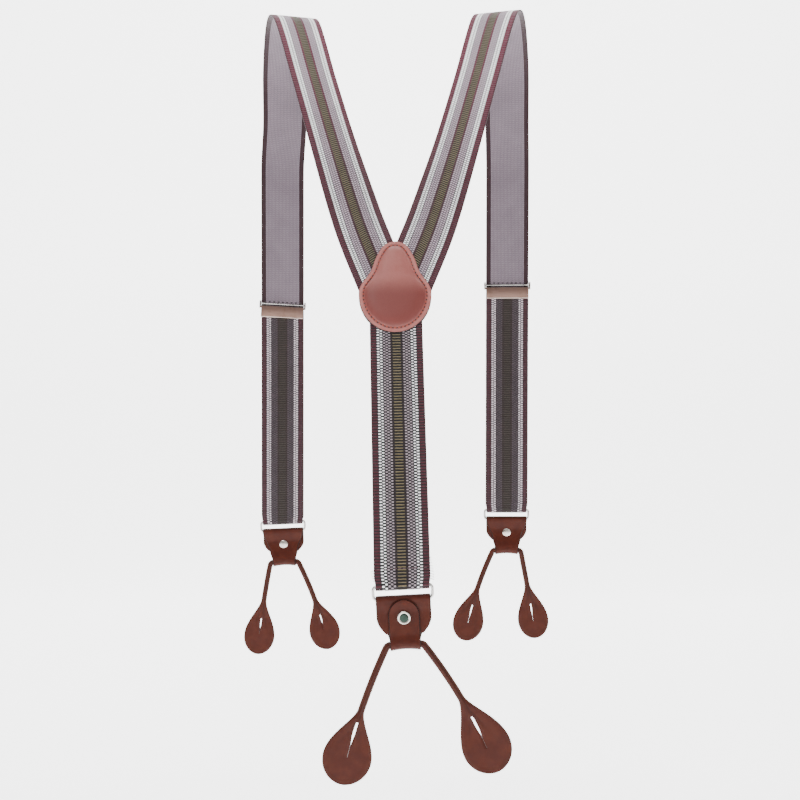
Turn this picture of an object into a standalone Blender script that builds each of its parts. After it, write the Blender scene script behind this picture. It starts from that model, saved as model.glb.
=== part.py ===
"""Button suspenders: striped webbing, a leather Y-back yoke, two lever adjusters and three leather ends.

Metres, +Z up. The suspenders hang as they are worn. -Y is the wearer's back, +X is the wearer's right,
and the origin is midway between the two straps, level with the crown of the right one.
"""

import math

import bmesh
import bpy
from mathutils import Matrix, Vector

MM = 0.001
AIR = 0.3 * MM  # clear air between pieces that touch
RUNNING_FIT = 0.08 * MM  # radial, where the lever turns on its pin
X, Y, Z = Vector((1, 0, 0)), Vector((0, 1, 0)), Vector((0, 0, 1))

# Webbing
WEBBING_WIDTH = 35 * MM
WEBBING_THICKNESS = 1.5 * MM
FOLD_WIDTH = 33.4 * MM  # the webbing draws in a little where it turns round a ring

# Back: the yoke and the back strap lie in one leaning plane
BACK_LEAN = math.radians(18.5)
BACK_SWAY = math.radians(1.35)  # the back strap runs a little to the right on its way down
BACK_RING_ROLL = math.radians(3)
FRONT_ROLLS = {"left": math.radians(2.5), "right": 0}  # how far each front ring hangs askew
YOKE_CENTRE = Vector((0, -0.0731, -0.2090))
BACK_STRAP_START = 13.5 * MM  # below the yoke's centre, inside the yoke
BACK_STRAP_RUN = 201 * MM  # from the yoke's centre to the ring's bar
BACK_SEAM = 10 * MM  # the flap is sewn down this far above the bar
BACK_FLAP = 19 * MM

# Yoke outline: a small circle over a big one, and the tangents between them
YOKE_THICKNESS = 1.6 * MM
YOKE_TOP_RADIUS, YOKE_TOP_CENTRE = 11 * MM, 21 * MM
YOKE_LOW_RADIUS, YOKE_LOW_CENTRE = 24.4 * MM, -7 * MM
YOKE_LOW_STRETCH = 1.13  # the big circle's lower half is drawn out downwards
YOKE_WAIST = 2.2 * MM  # how far the sides draw in between the circles
YOKE_WAIST_LOW, YOKE_WAIST_HIGH = -5 * MM, 22 * MM

# Ring: round wire bent to a rounded rectangle. The webbing turns round its top bar, the leather round the
# low one.
WIRE_RADIUS = 0.9 * MM
RING_HALF_WIDTH = 18.35 * MM  # to the wire's centre
RING_BAR_SPACING = 8.4 * MM
RING_CORNER = 2.6 * MM
EYE_RADIUS = 1.35 * MM  # inside of any fold round a ring's bar
WEBBING_FOLD = EYE_RADIUS + WEBBING_THICKNESS / 2

# Tab: one strip of leather, folded over the ring, down the inner side, under the cord and up the outer side
LEATHER = 1.2 * MM
TAB_HALF_WIDTH = 17 * MM
TAB_WAIST = 11.6 * MM  # half widths, like the next two
TUNNEL_HALF_WIDTH = 9.4 * MM
TONGUE_HALF_WIDTH = 9.6 * MM
TAB_FOLD = EYE_RADIUS + LEATHER / 2
TAB_FLAT = (AIR + LEATHER) / 2  # the two inner layers lie this far from the middle
TONGUE_FLAT = TAB_FLAT + LEATHER + AIR
EASE_DEPTH = 9 * MM  # the fold closes to flat layers within this depth
RIVET_DEPTH = 11 * MM
POST_RADIUS = 1.2 * MM

# Runner: a rolled leather cord through the tab, each end cut flat and slit for a button
CORD_RADIUS = 2.2 * MM
TUNNEL_RADIUS = CORD_RADIUS + AIR + LEATHER / 2
CORD_BEND = 3 * MM
FLEX_GAP = 0.65 * MM  # each side of a leg's flex point
PADDLE_HALF_THICKNESS = 1.1 * MM
SLIT_HALF_WIDTH = 0.5 * MM

# Adjuster, measured from the top edge of its plate: down the strap, and outwards from the strap's middle
PLATE_WIDTH = 34.8 * MM
PLATE_HEIGHT = 9.4 * MM
SHEET_METAL = 0.9 * MM
RETURN_DEPTH = WEBBING_THICKNESS + AIR  # from the outer layer's middle to the return layer's middle
PLATE_DEPTH = RETURN_DEPTH + WEBBING_THICKNESS / 2 + AIR + SHEET_METAL / 2
CHEEK_INSIDE = 18 * MM
CHEEK_TOP, CHEEK_BOTTOM = -4.3 * MM, 2 * MM
BAR_RISE = 1.6 * MM
RETURN_END = 24 * MM  # the stretch of the return layer that moves as one with the adjuster
ANVIL_RADIUS = 0.65 * MM
ANVIL_OUT = -(WEBBING_THICKNESS / 2 + AIR + ANVIL_RADIUS)
PIN_RADIUS = 0.8 * MM
PIN_OUT = 3.2 * MM
BARREL_RADIUS = 1.7 * MM
LEVER_HALF_WIDTH = 16.9 * MM
LEVER_LENGTH = 13.5 * MM
TEETH = 9
TOOTH_PITCH = 3.6 * MM

# Right strap from inside the yoke, over the shoulder, to the top of its straight front run: the middle of
# the webbing, and how far its outer edge turns towards the back, in degrees. The left one mirrors it.
SHOULDER_ROUTE = [
    (0.0066, -0.0736, -0.2105, 0),
    (0.0203, -0.0625, -0.1772, 0),
    (0.0279, -0.0553, -0.1559, 7),
    (0.0432, -0.0420, -0.1067, 22),
    (0.0578, -0.0290, -0.0556, 26),
    (0.0708, -0.0118, -0.0090, 22),
    (0.0765, 0.0020, 0.0000, 14),
    (0.0825, 0.0300, -0.0045, 8),
    (0.0880, 0.0620, -0.0280, 0),
    (0.0900, 0.0800, -0.0620, 0),
]
CROWN_FADE = 0.10  # a low crown's drop dies out within this depth
FIXED_RUN_END = -0.325  # below this the strap's length can change

# Each front strap: where its straight run begins and where it reaches the ring, and its adjuster's height
FRONT_STRAPS = {
    "left": {
        "sign": -1,
        "crown_drop": 3.5 * MM,
        "run_top": Vector((-0.0930, 0.0910, -0.1000)),
        "run_end": Vector((-0.0955, 0.1185, -0.3878)),
        "adjuster_z": -0.2085,
        "adjuster_roll": math.radians(2.6),
    },
    "right": {
        "sign": 1,
        "crown_drop": 0,
        "run_top": Vector((0.0915, 0.0910, -0.1000)),
        "run_end": Vector((0.0929, 0.1175, -0.3777)),
        "adjuster_z": -0.1926,
        "adjuster_roll": 0,
    },
}
LOOP_HEIGHT = 7 * MM  # the webbing's loop round a front ring, above the bar


def leg_shape(side, start, tip, cord, paddle, slit):
    """Angles are from plumb, in degrees, where the leg leaves the tab and at its tip. Lengths are in mm, and
    the slit's ends are measured from the end of the cord."""
    return {
        "side": side,
        "start": math.radians(start),
        "tip": math.radians(tip),
        "cord": cord * MM,
        "paddle": paddle * MM,
        "slit": (slit[0] * MM, slit[1] * MM),
    }


# Each leather end
FRONT_END = {
    "outward": 1,
    "tunnel_drop": 26 * MM,
    "free_end": 17.5 * MM,
    "rivet_radius": 3.8 * MM,
    "paddle_half_width": 12.8 * MM,
    "paddle_end": 15.5 * MM,
}
ENDS = {
    "left_front": {
        **FRONT_END,
        "roll": FRONT_ROLLS["left"],
        "legs": {
            "outer_leg": leg_shape(-1, 13.5, 7.5, 28.5, 45.5, (15, 29)),
            "inner_leg": leg_shape(1, 24, 9, 32, 43, (13, 26)),
        },
    },
    "right_front": {
        **FRONT_END,
        "roll": FRONT_ROLLS["right"],
        "legs": {
            "inner_leg": leg_shape(-1, 25, 9, 31.5, 45, (14, 30)),
            "outer_leg": leg_shape(1, 11, 9, 25.5, 45.5, (16, 31)),
        },
    },
    "back": {
        "outward": -1,
        "roll": BACK_RING_ROLL,
        "tunnel_drop": 28.2 * MM,
        "free_end": 21.3 * MM,
        "rivet_radius": 4.2 * MM,
        "paddle_half_width": 15.3 * MM,
        "paddle_end": 16.5 * MM,
        "legs": {
            "left_leg": leg_shape(-1, 27.5, 15, 40, 47, (7, 30)),
            "right_leg": leg_shape(1, 35, 18.5, 37.5, 51, (13, 35)),
        },
    },
}

MATERIALS = {  # colour, roughness, metallic
    "webbing": ((0.33, 0.26, 0.27), 0.85, 0),
    "yoke_leather": ((0.27, 0.09, 0.08), 0.45, 0),
    "tab_leather": ((0.16, 0.05, 0.03), 0.45, 0),
    "runner_leather": ((0.20, 0.06, 0.04), 0.5, 0),
    "nickel": ((0.62, 0.60, 0.57), 0.25, 1),
    "plate_metal": ((0.36, 0.28, 0.24), 0.4, 1),
}


# ---- Scene ----


def clear_scene():
    for obj in list(bpy.data.objects):
        bpy.data.objects.remove(obj, do_unlink=True)


def new_collection(name):
    collection = bpy.data.collections.new(name)
    bpy.context.scene.collection.children.link(collection)
    return collection


def make_materials():
    for name, (colour, roughness, metallic) in MATERIALS.items():
        material = bpy.data.materials.new(name)
        material.use_nodes = True
        shader = material.node_tree.nodes["Principled BSDF"]
        shader.inputs["Base Color"].default_value = (*colour, 1)
        shader.inputs["Roughness"].default_value = roughness
        shader.inputs["Metallic"].default_value = metallic


clear_scene()
make_materials()
PARTS = new_collection("suspenders")
CUTTERS = new_collection("cutters")


def place(obj, parent, material=None):
    PARTS.objects.link(obj)
    obj.parent = parent
    if material:
        obj.data.materials.append(bpy.data.materials[material])
    return obj


def pivot(name, parent=None, matrix=None):
    """An empty whose origin is a joint's axis or a sub-assembly's datum."""
    empty = place(bpy.data.objects.new(name, None), parent)
    empty.empty_display_size = 5 * MM
    empty.matrix_local = matrix or Matrix()
    return empty


def frame_matrix(origin, x_axis, y_axis, z_axis):
    matrix = Matrix((x_axis, y_axis, z_axis)).transposed().to_4x4()
    matrix.translation = origin
    return matrix


# ---- Shape builders ----


def object_from(bm, name, parent, material):
    bmesh.ops.recalc_face_normals(bm, faces=bm.faces)
    mesh = bpy.data.meshes.new(name)
    bm.to_mesh(mesh)
    bm.free()
    return place(bpy.data.objects.new(name, mesh), parent, material)


def smooth(obj, angle=35):
    obj.data.shade_smooth()
    obj.data.set_sharp_from_angle(angle=math.radians(angle))
    return obj


def ribbon(name, rows, thickness, material, parent=None):
    """A strip through rows of (edge point, edge point), thickened evenly about them."""
    bm = bmesh.new()
    made = [[bm.verts.new(point) for point in row] for row in rows]
    for (a, b), (c, d) in zip(made, made[1:]):
        bm.faces.new((a, b, d, c))
    mesh = bpy.data.meshes.new(name)
    bm.to_mesh(mesh)
    bm.free()
    obj = place(bpy.data.objects.new(name, mesh), parent, material)
    solidify = obj.modifiers.new("thickness", "SOLIDIFY")
    solidify.thickness = thickness
    solidify.offset = 0
    solidify.use_even_offset = True
    return obj


def loft(name, rings, material=None, parent=None):
    """A closed solid through rings of equally many points."""
    bm = bmesh.new()
    made = [[bm.verts.new(point) for point in ring] for ring in rings]
    for low, high in zip(made, made[1:]):
        for i in range(len(low)):
            j = (i + 1) % len(low)
            bm.faces.new((low[i], low[j], high[j], high[i]))
    bm.faces.new(reversed(made[0]))
    bm.faces.new(made[-1])
    return object_from(bm, name, parent, material)


def wire(name, points, radius, material, parent, closed=False):
    """Round wire or cord through the points, which lie in its parent's frame."""
    curve = bpy.data.curves.new(name, "CURVE")
    curve.dimensions = "3D"
    curve.bevel_depth = radius
    curve.bevel_resolution = 2
    curve.use_fill_caps = not closed
    spline = curve.splines.new("POLY")
    spline.points.add(len(points) - 1)
    spline.use_cyclic_u = closed
    for point, place_at in zip(spline.points, points):
        point.co = (*place_at, 1)
    return place(bpy.data.objects.new(name, curve), parent, material)


def block(name, low, high, material=None, parent=None):
    bm = bmesh.new()
    bmesh.ops.create_cube(bm, size=1)
    low, high = Vector(low), Vector(high)
    size = high - low
    bmesh.ops.scale(bm, vec=size, verts=bm.verts)
    bmesh.ops.translate(bm, vec=(low + high) / 2, verts=bm.verts)
    return object_from(bm, name, parent, material)


def rod(name, centre, axis, radius, length, material=None, parent=None, sides=16):
    bm = bmesh.new()
    bmesh.ops.create_cone(
        bm, cap_ends=True, segments=sides, radius1=radius, radius2=radius, depth=length
    )
    turn = Z.rotation_difference(axis).to_matrix()
    bmesh.ops.rotate(bm, matrix=turn, verts=bm.verts)
    bmesh.ops.translate(bm, vec=centre, verts=bm.verts)
    return object_from(bm, name, parent, material)


def turned(name, profile, material, parent, centre, outward, closed=False):
    """A round piece about the Y axis through centre. Profile points are (radius, height), going outward."""
    bm = bmesh.new()
    made = [bm.verts.new((radius, 0, height)) for radius, height in profile]
    pairs = list(zip(made, made[1:]))
    if closed:
        pairs.append((made[-1], made[0]))
    for a, b in pairs:
        bm.edges.new((a, b))
    mesh = bpy.data.meshes.new(name)
    bm.to_mesh(mesh)
    bm.free()
    obj = place(bpy.data.objects.new(name, mesh), parent, material)
    obj.location = centre
    obj.rotation_euler = (math.radians(-90 * outward), 0, 0)
    screw = obj.modifiers.new("turn", "SCREW")
    screw.steps = screw.render_steps = 20
    screw.use_merge_vertices = True
    screw.merge_threshold = 0.01 * MM
    screw.use_normal_calculate = True
    return obj


def combine(obj, other, operation):
    """Cuts other from obj, or joins it on, and keeps other out of the assembly."""
    PARTS.objects.unlink(other)
    CUTTERS.objects.link(other)
    other.hide_render = True
    other.display_type = "WIRE"
    boolean = obj.modifiers.new(operation.lower() + "_" + other.name, "BOOLEAN")
    boolean.operation = operation
    boolean.object = other
    boolean.solver = "EXACT"


# ---- Curves in numbers ----


def ease(start, end, t):
    """Runs from start to end as t goes from 0 to 1, level at both ends."""
    t = min(max(t, 0), 1)
    return start + (end - start) * t * t * (3 - 2 * t)


def steps(start, end, count):
    return [start + (end - start) * i / count for i in range(count + 1)]


def through(points, spacing, end_tangent):
    """Points every spacing or less along a smooth curve through the given ones."""
    lengths = [0]
    for a, b in zip(points, points[1:]):
        lengths.append(lengths[-1] + (b - a).length)
    tangents = [(points[1] - points[0]) / lengths[1]]
    for i in range(1, len(points) - 1):
        tangents.append((points[i + 1] - points[i - 1]) / (lengths[i + 1] - lengths[i - 1]))
    tangents.append(end_tangent)
    found = []
    for i in range(len(points) - 1):
        span = lengths[i + 1] - lengths[i]
        count = math.ceil(span / spacing)
        for t in steps(0, 1, count)[:-1]:
            found.append(
                points[i] * (2 * t**3 - 3 * t**2 + 1)
                + tangents[i] * (span * (t**3 - 2 * t**2 + t))
                + points[i + 1] * (3 * t**2 - 2 * t**3)
                + tangents[i + 1] * (span * (t**3 - t**2))
            )
    return found + [points[-1]]


# ---- Webbing ----


def edges(centre, across, width=WEBBING_WIDTH):
    return centre - across * width / 2, centre + across * width / 2


def shoulder_webbing(side, strap):
    """From inside the yoke, up the back, over the shoulder and down the straight front run."""
    sign, drop = strap["sign"], strap["crown_drop"]
    run = (strap["run_end"] - strap["run_top"]).normalized()
    guides = [
        Vector((sign * x, y, z - drop * max(0, 1 + z / CROWN_FADE), turn * 1e-3))
        for x, y, z, turn in SHOULDER_ROUTE
    ]
    guides.append(Vector((*strap["run_top"], 0)))
    route = through(guides, 9 * MM, Vector((*run, 0)))
    for z in steps(route[-1].z, FIXED_RUN_END, 4)[1:]:
        route.append(Vector((*strap_point(strap, z), 0)))
    rows = []
    for i, here in enumerate(route):
        ahead, behind = route[min(i + 1, len(route) - 1)], route[max(i - 1, 0)]
        tangent = (ahead - behind).to_3d().normalized()
        turn = math.radians(here[3] * 1e3)
        across = Vector((sign * math.cos(turn), -math.sin(turn), 0))
        across = (across - across.dot(tangent) * tangent).normalized()
        inner, outer = edges(here.to_3d(), across)
        # inside the yoke the two straps are cut to meet at the middle
        inner.x = sign * max(sign * inner.x, AIR)
        rows.append((inner, outer))
    ribbon(f"{side}_shoulder_webbing", rows, WEBBING_THICKNESS, "webbing")


def fold(bar, down, face, count=8):
    """Middle points of webbing that comes down on the face side of a bar and goes up on its other side."""
    return [
        bar + WEBBING_FOLD * (math.cos(angle) * face + math.sin(angle) * down)
        for angle in steps(0, math.pi, count)
    ]


def fold_width(height):
    return ease(FOLD_WIDTH, WEBBING_WIDTH, height / (5 * MM))


def front_webbing(side, strap):
    """The last of the straight run, the loop round the ring and the return layer up to the adjuster."""
    end = strap["run_end"]
    down = (end - strap["run_top"]).normalized()
    roll = FRONT_ROLLS[side]
    bar_axis = Vector((math.cos(roll), 0, math.sin(roll)))
    down_square = (down - down.dot(bar_axis) * bar_axis).normalized()
    face = bar_axis.cross(down_square)
    bar = end - WEBBING_FOLD * face

    start = strap_point(strap, FIXED_RUN_END - 2 * AIR)
    rows = [edges(start.lerp(end - down * (LOOP_HEIGHT + AIR), t), X) for t in steps(0, 1, 3)]
    ribbon(f"{side}_front_webbing", rows, WEBBING_THICKNESS, "webbing")

    heights = steps(LOOP_HEIGHT, 0, 4)[:-1]
    inner = end - 2 * WEBBING_FOLD * face
    tilts = [X.lerp(bar_axis, ease(1, 0, h / LOOP_HEIGHT)) for h in heights]
    rows = [edges(end - down * h, tilt, fold_width(h)) for h, tilt in zip(heights, tilts)]
    rows += [edges(point, bar_axis, FOLD_WIDTH) for point in fold(bar, down_square, face)]
    rows += [edges(inner - down * h, tilt, fold_width(h)) for h, tilt in list(zip(heights, tilts))[::-1]]
    ribbon(f"{side}_loop_webbing", rows, WEBBING_THICKNESS, "webbing")

    plate_top = strap_point(strap, strap["adjuster_z"])
    length = (end - plate_top).length
    rows = []
    held = length - RETURN_END
    for h in steps(LOOP_HEIGHT + AIR, held - AIR, 8):
        depth = ease(2 * WEBBING_FOLD, RETURN_DEPTH, (h - LOOP_HEIGHT) / (held - LOOP_HEIGHT - 10 * MM))
        rows.append(edges(end - down * h - face * depth, X))
    ribbon(f"{side}_return_webbing", rows, WEBBING_THICKNESS, "webbing")
    rows = [edges(end - down * h - face * RETURN_DEPTH, X) for h in (held, length - 1 * MM)]
    ribbon(f"{side}_return_end_webbing", rows, WEBBING_THICKNESS, "webbing")
    return bar


def strap_point(strap, z):
    """The middle of a front strap's outer layer at this height."""
    top, end = strap["run_top"], strap["run_end"]
    return top.lerp(end, (z - top.z) / (end.z - top.z))


def back_webbing():
    """From inside the yoke down to the back ring, round its bar, and up to the sewn flap."""
    down = Vector((math.tan(BACK_SWAY), -math.sin(BACK_LEAN), -math.cos(BACK_LEAN))).normalized()
    up_plane = Vector((0, math.sin(BACK_LEAN), math.cos(BACK_LEAN)))
    bar_axis = Vector((math.cos(BACK_RING_ROLL), 0, math.sin(BACK_RING_ROLL)))
    down_square = (down - down.dot(bar_axis) * bar_axis).normalized()
    face = down_square.cross(bar_axis)
    end = YOKE_CENTRE + down * BACK_STRAP_RUN
    bar = end - WEBBING_FOLD * face

    rows = []
    for t in steps(BACK_STRAP_START, BACK_STRAP_RUN - 6 * MM, 8):
        roll = ease(BACK_SWAY, BACK_RING_ROLL, t / BACK_STRAP_RUN * 3 - 2)
        across = math.cos(roll) * X + math.sin(roll) * up_plane
        rows.append(edges(YOKE_CENTRE + down * t, across))
    rows += [edges(end - down * h, bar_axis, fold_width(h)) for h in (4 * MM, 2 * MM)]
    rows += [edges(point, bar_axis, FOLD_WIDTH) for point in fold(bar, down_square, face)]
    for h in (2 * MM, 4 * MM, 6 * MM, 8 * MM, BACK_SEAM, BACK_FLAP):
        depth = ease(2 * WEBBING_FOLD, RETURN_DEPTH, h / BACK_SEAM)
        rows.append(edges(end - down * h - face * depth, bar_axis, fold_width(h)))
    ribbon("back_strap_webbing", rows, WEBBING_THICKNESS, "webbing")
    return bar


# ---- Yoke ----


def yoke_outline():
    """Two circles one above the other, and the tangents that join them, drawn in to a slight waist."""
    slope = math.asin((YOKE_LOW_RADIUS - YOKE_TOP_RADIUS) / (YOKE_TOP_CENTRE - YOKE_LOW_CENTRE))

    def stretch(angle):
        return YOKE_LOW_STRETCH if angle < 0 else 1

    def waist(y):
        t = (y - YOKE_WAIST_LOW) / (YOKE_WAIST_HIGH - YOKE_WAIST_LOW)
        return YOKE_WAIST * math.sin(math.pi * t) ** 2 if 0 < t < 1 else 0

    low = [
        (YOKE_LOW_RADIUS * math.cos(a), YOKE_LOW_CENTRE + YOKE_LOW_RADIUS * math.sin(a) * stretch(a))
        for a in steps(-math.pi / 2, slope, 12)
    ]
    top = [
        (YOKE_TOP_RADIUS * math.cos(a), YOKE_TOP_CENTRE + YOKE_TOP_RADIUS * math.sin(a))
        for a in steps(slope, math.pi / 2, 6)
    ]
    start, end = Vector(low[-1]), Vector(top[0])
    side = [tuple(start.lerp(end, t)) for t in steps(0, 1, 7)[1:-1]]
    right = [(x - waist(y), y) for x, y in low + side + top]
    return right + [(-x, y) for x, y in reversed(right[1:-1])]


def yoke_patch(name, parent, offset):
    curve = bpy.data.curves.new(name, "CURVE")
    curve.dimensions = "2D"
    curve.fill_mode = "BOTH"
    curve.extrude = YOKE_THICKNESS / 2
    outline = yoke_outline()
    spline = curve.splines.new("POLY")
    spline.points.add(len(outline) - 1)
    spline.use_cyclic_u = True
    for point, (x, y) in zip(spline.points, outline):
        point.co = (x, y, 0, 1)
    patch = place(bpy.data.objects.new(name, curve), parent, "yoke_leather")
    patch.location = (0, 0, offset)
    weld = patch.modifiers.new("weld", "WELD")
    weld.merge_threshold = 0.01 * MM
    bevel = patch.modifiers.new("round", "BEVEL")
    bevel.width = 0.4 * MM
    bevel.segments = 1


def yoke():
    datum = pivot("yoke_datum")
    datum.location = YOKE_CENTRE
    datum.rotation_euler = (math.pi / 2 - BACK_LEAN, 0, 0)
    offset = WEBBING_THICKNESS / 2 + AIR + YOKE_THICKNESS / 2
    yoke_patch("yoke_front_patch", datum, offset)
    yoke_patch("yoke_back_patch", datum, -offset)


# ---- Adjuster ----


def adjuster_frame(side, parent):
    """The plate over the return layer, and the two cheeks that carry the anvil bar and the lever's pin."""
    inner, outer = -PLATE_DEPTH - SHEET_METAL / 2, -PLATE_DEPTH + SHEET_METAL / 2
    frame = block(
        f"{side}_adjuster_frame",
        (-PLATE_WIDTH / 2, inner, -PLATE_HEIGHT),
        (PLATE_WIDTH / 2, outer, 0),
        "plate_metal",
        parent,
    )
    cheek_out = CHEEK_INSIDE + SHEET_METAL
    for sign in (-1, 1):
        near, far = sorted((sign * CHEEK_INSIDE, sign * cheek_out))
        cheek = block(
            f"{side}_cheek_{sign}",
            (near, inner, -CHEEK_BOTTOM),
            (far, PIN_OUT + 1.5 * MM, -CHEEK_TOP),
            None,
            parent,
        )
        near, far = sorted((sign * (CHEEK_INSIDE - 2 * MM), sign * (cheek_out - 0.1 * MM)))
        lug = block(
            f"{side}_lug_{sign}",
            (near, inner + 0.05 * MM, -CHEEK_BOTTOM + 0.1 * MM),
            (far, outer - 0.05 * MM, -0.2 * MM),
            None,
            parent,
        )
        combine(frame, lug, "UNION")
        combine(frame, cheek, "UNION")
    for name, out, radius in (("anvil", ANVIL_OUT, ANVIL_RADIUS), ("pin", PIN_OUT, PIN_RADIUS)):
        hole = rod(f"{side}_{name}_hole", (0, out, BAR_RISE), X, radius + AIR, 50 * MM, None, parent)
        combine(frame, hole, "DIFFERENCE")


def lever(side, parent):
    """The cover plate on its barrel, with the teeth that press the webbing against the anvil bar."""
    obj = rod(
        f"{side}_lever", (0, 0, 0), X, BARREL_RADIUS, 2 * LEVER_HALF_WIDTH, "nickel", parent
    )
    cover = block(
        f"{side}_lever_cover",
        (-LEVER_HALF_WIDTH + 0.05 * MM, BARREL_RADIUS - SHEET_METAL, -LEVER_LENGTH),
        (LEVER_HALF_WIDTH - 0.05 * MM, BARREL_RADIUS - 0.05 * MM, 0.2 * MM),
        None,
        parent,
    )
    combine(obj, cover, "UNION")
    reach = PIN_OUT - WEBBING_THICKNESS / 2 - AIR
    for i in range(TEETH):
        x = (i - (TEETH - 1) / 2) * TOOTH_PITCH
        tooth = block(
            f"{side}_tooth_{i}",
            (x - 0.8 * MM, -reach, -0.4 * MM),
            (x + 0.8 * MM, -BARREL_RADIUS + 0.3 * MM, 0.4 * MM),
            None,
            parent,
        )
        combine(obj, tooth, "UNION")
    bore = rod(f"{side}_lever_bore", (0, 0, 0), X, PIN_RADIUS + RUNNING_FIT, 50 * MM, None, parent)
    combine(obj, bore, "DIFFERENCE")


def adjuster(side, strap):
    down = (strap["run_end"] - strap["run_top"]).normalized()
    up = -down
    across = (X - X.dot(up) * up).normalized()
    out = up.cross(across)
    origin = strap_point(strap, strap["adjuster_z"])
    roll = Matrix.Rotation(strap["adjuster_roll"], 4, "Y")
    datum = pivot(f"{side}_adjuster_datum", None, frame_matrix(origin, across, out, up) @ roll)
    adjuster_frame(side, datum)
    rod(
        f"{side}_anvil_bar",
        (0, ANVIL_OUT, BAR_RISE),
        X,
        ANVIL_RADIUS,
        2 * (CHEEK_INSIDE + SHEET_METAL + 0.2 * MM),
        "nickel",
        datum,
        12,
    )
    hinge = pivot(f"{side}_lever_pivot", datum, Matrix.Translation((0, PIN_OUT, BAR_RISE)))
    rod(
        f"{side}_lever_pin",
        (0, 0, 0),
        X,
        PIN_RADIUS,
        2 * (CHEEK_INSIDE + SHEET_METAL + 0.2 * MM),
        "nickel",
        hinge,
    )
    lever(side, hinge)


# ---- Leather ends ----


def ring(end, parent):
    """The wire loop. Its top bar lies on the parent's X axis."""
    inset = RING_CORNER
    corners = [
        (RING_HALF_WIDTH - inset, -inset, 90),
        (RING_HALF_WIDTH - inset, -RING_BAR_SPACING + inset, 0),
        (-RING_HALF_WIDTH + inset, -RING_BAR_SPACING + inset, -90),
        (-RING_HALF_WIDTH + inset, -inset, -180),
    ]
    points = []
    for x, z, start in corners:
        for angle in steps(math.radians(start), math.radians(start - 90), 5):
            points.append((x + inset * math.cos(angle), 0, z + inset * math.sin(angle)))
    wire(f"{end}_ring", points, WIRE_RADIUS, "nickel", parent, closed=True)


def tab_path(spec):
    """(out, height, half width) along the strip's middle, from its free end round the ring's bar, down the
    inner side, under the cord and up to the tongue's tip. The ring's bar is at the origin."""
    free, drop = spec["free_end"], spec["tunnel_drop"]

    def lobe(depth):
        """Half width of the layer with the free end: full, then round shoulders."""
        into = max(0, depth / free - 0.5) / 0.5
        return TAB_WAIST + (TAB_HALF_WIDTH - TAB_WAIST) * (1 - into**2)

    def taper(depth):
        """Half width of the layer that goes on to the cord."""
        if depth < 0.62 * drop:
            return ease(TAB_HALF_WIDTH, TAB_WAIST, depth / drop / 0.62)
        return ease(TAB_WAIST, TUNNEL_HALF_WIDTH, (depth / drop - 0.62) / 0.38)

    path = []
    for left in (1, 0.97, 0.92, 0.84, 0.74, 0.62, 0.5, 0.38, 0.26, 0.15, 0.03):
        depth = free * left
        path.append((ease(TAB_FOLD, TAB_FLAT, depth / EASE_DEPTH), -depth, lobe(depth)))
    for angle in steps(0, math.pi, 8):
        path.append((TAB_FOLD * math.cos(angle), TAB_FOLD * math.sin(angle), TAB_HALF_WIDTH - 0.2 * MM))
    for depth in [0.5 * MM] + steps(0, free, 8)[1:]:
        path.append((-ease(TAB_FOLD, TAB_FLAT, depth / EASE_DEPTH), -depth, taper(depth)))
    for depth in steps(free, drop, 4)[1:-1]:
        out = ease(TAB_FLAT, TUNNEL_RADIUS, (depth - free) / (drop - free))
        path.append((-out, -depth, taper(depth)))
    for angle in steps(math.pi, 2 * math.pi, 10):
        x, y = TUNNEL_RADIUS * math.cos(angle), TUNNEL_RADIUS * math.sin(angle)
        path.append((x, -drop + y, TUNNEL_HALF_WIDTH))
    for depth in steps(drop, TONGUE_HALF_WIDTH, 5)[1:]:
        path.append((tongue_out(depth, drop, free), -depth, TONGUE_HALF_WIDTH))
    for left in (0.72, 0.48, 0.27, 0.12, 0.03):
        depth = TONGUE_HALF_WIDTH * left
        half = TONGUE_HALF_WIDTH * math.sqrt(1 - (1 - left) ** 2)
        path.append((tongue_out(depth, drop, free), -depth, half))
    return path


def tongue_out(depth, drop, free):
    if depth > free:
        return ease(TUNNEL_RADIUS, TONGUE_FLAT, (drop - depth) / (drop - free))
    return ease(TAB_FOLD + LEATHER + AIR, TONGUE_FLAT, depth / EASE_DEPTH)


def tab(end, spec, parent):
    outward = spec["outward"]
    rows = [
        (Vector((-half, outward * out, height)), Vector((half, outward * out, height)))
        for out, height, half in tab_path(spec)
    ]
    obj = ribbon(f"{end}_tab", rows, LEATHER, "tab_leather", parent)
    hole = rod(
        f"{end}_rivet_hole", (0, 0, -RIVET_DEPTH), Y, POST_RADIUS + AIR, 20 * MM, None, parent, 12
    )
    combine(obj, hole, "DIFFERENCE")


def rivet(end, spec, parent):
    """A domed cap whose post goes through the leather, and the washer that its tail is set in."""
    outward, radius = spec["outward"], spec["rivet_radius"]
    seat = TONGUE_FLAT + LEATHER / 2 + AIR
    tail = TAB_FLAT + LEATHER / 2 + AIR
    washer = 0.9 * MM
    dome = [
        (radius * math.sin(a), 0.5 * MM + 0.8 * MM * math.cos(a)) for a in steps(0, math.pi / 2, 4)
    ]
    post_end = -(seat + tail + washer)
    profile = [(0, post_end), (POST_RADIUS, post_end), (POST_RADIUS, 0), (radius, 0), *reversed(dome)]
    cap_at = (0, outward * seat, -RIVET_DEPTH)
    turned(f"{end}_rivet_cap", profile, "nickel", parent, cap_at, outward)
    rim, eye = radius - 0.3 * MM, POST_RADIUS + AIR
    profile = [(eye, washer), (rim - 0.3 * MM, washer), (rim, washer - 0.3 * MM), (rim, 0), (eye, 0)]
    base_at = (0, -outward * tail, -RIVET_DEPTH)
    turned(f"{end}_rivet_base", profile, "nickel", parent, base_at, -outward, closed=True)


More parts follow.
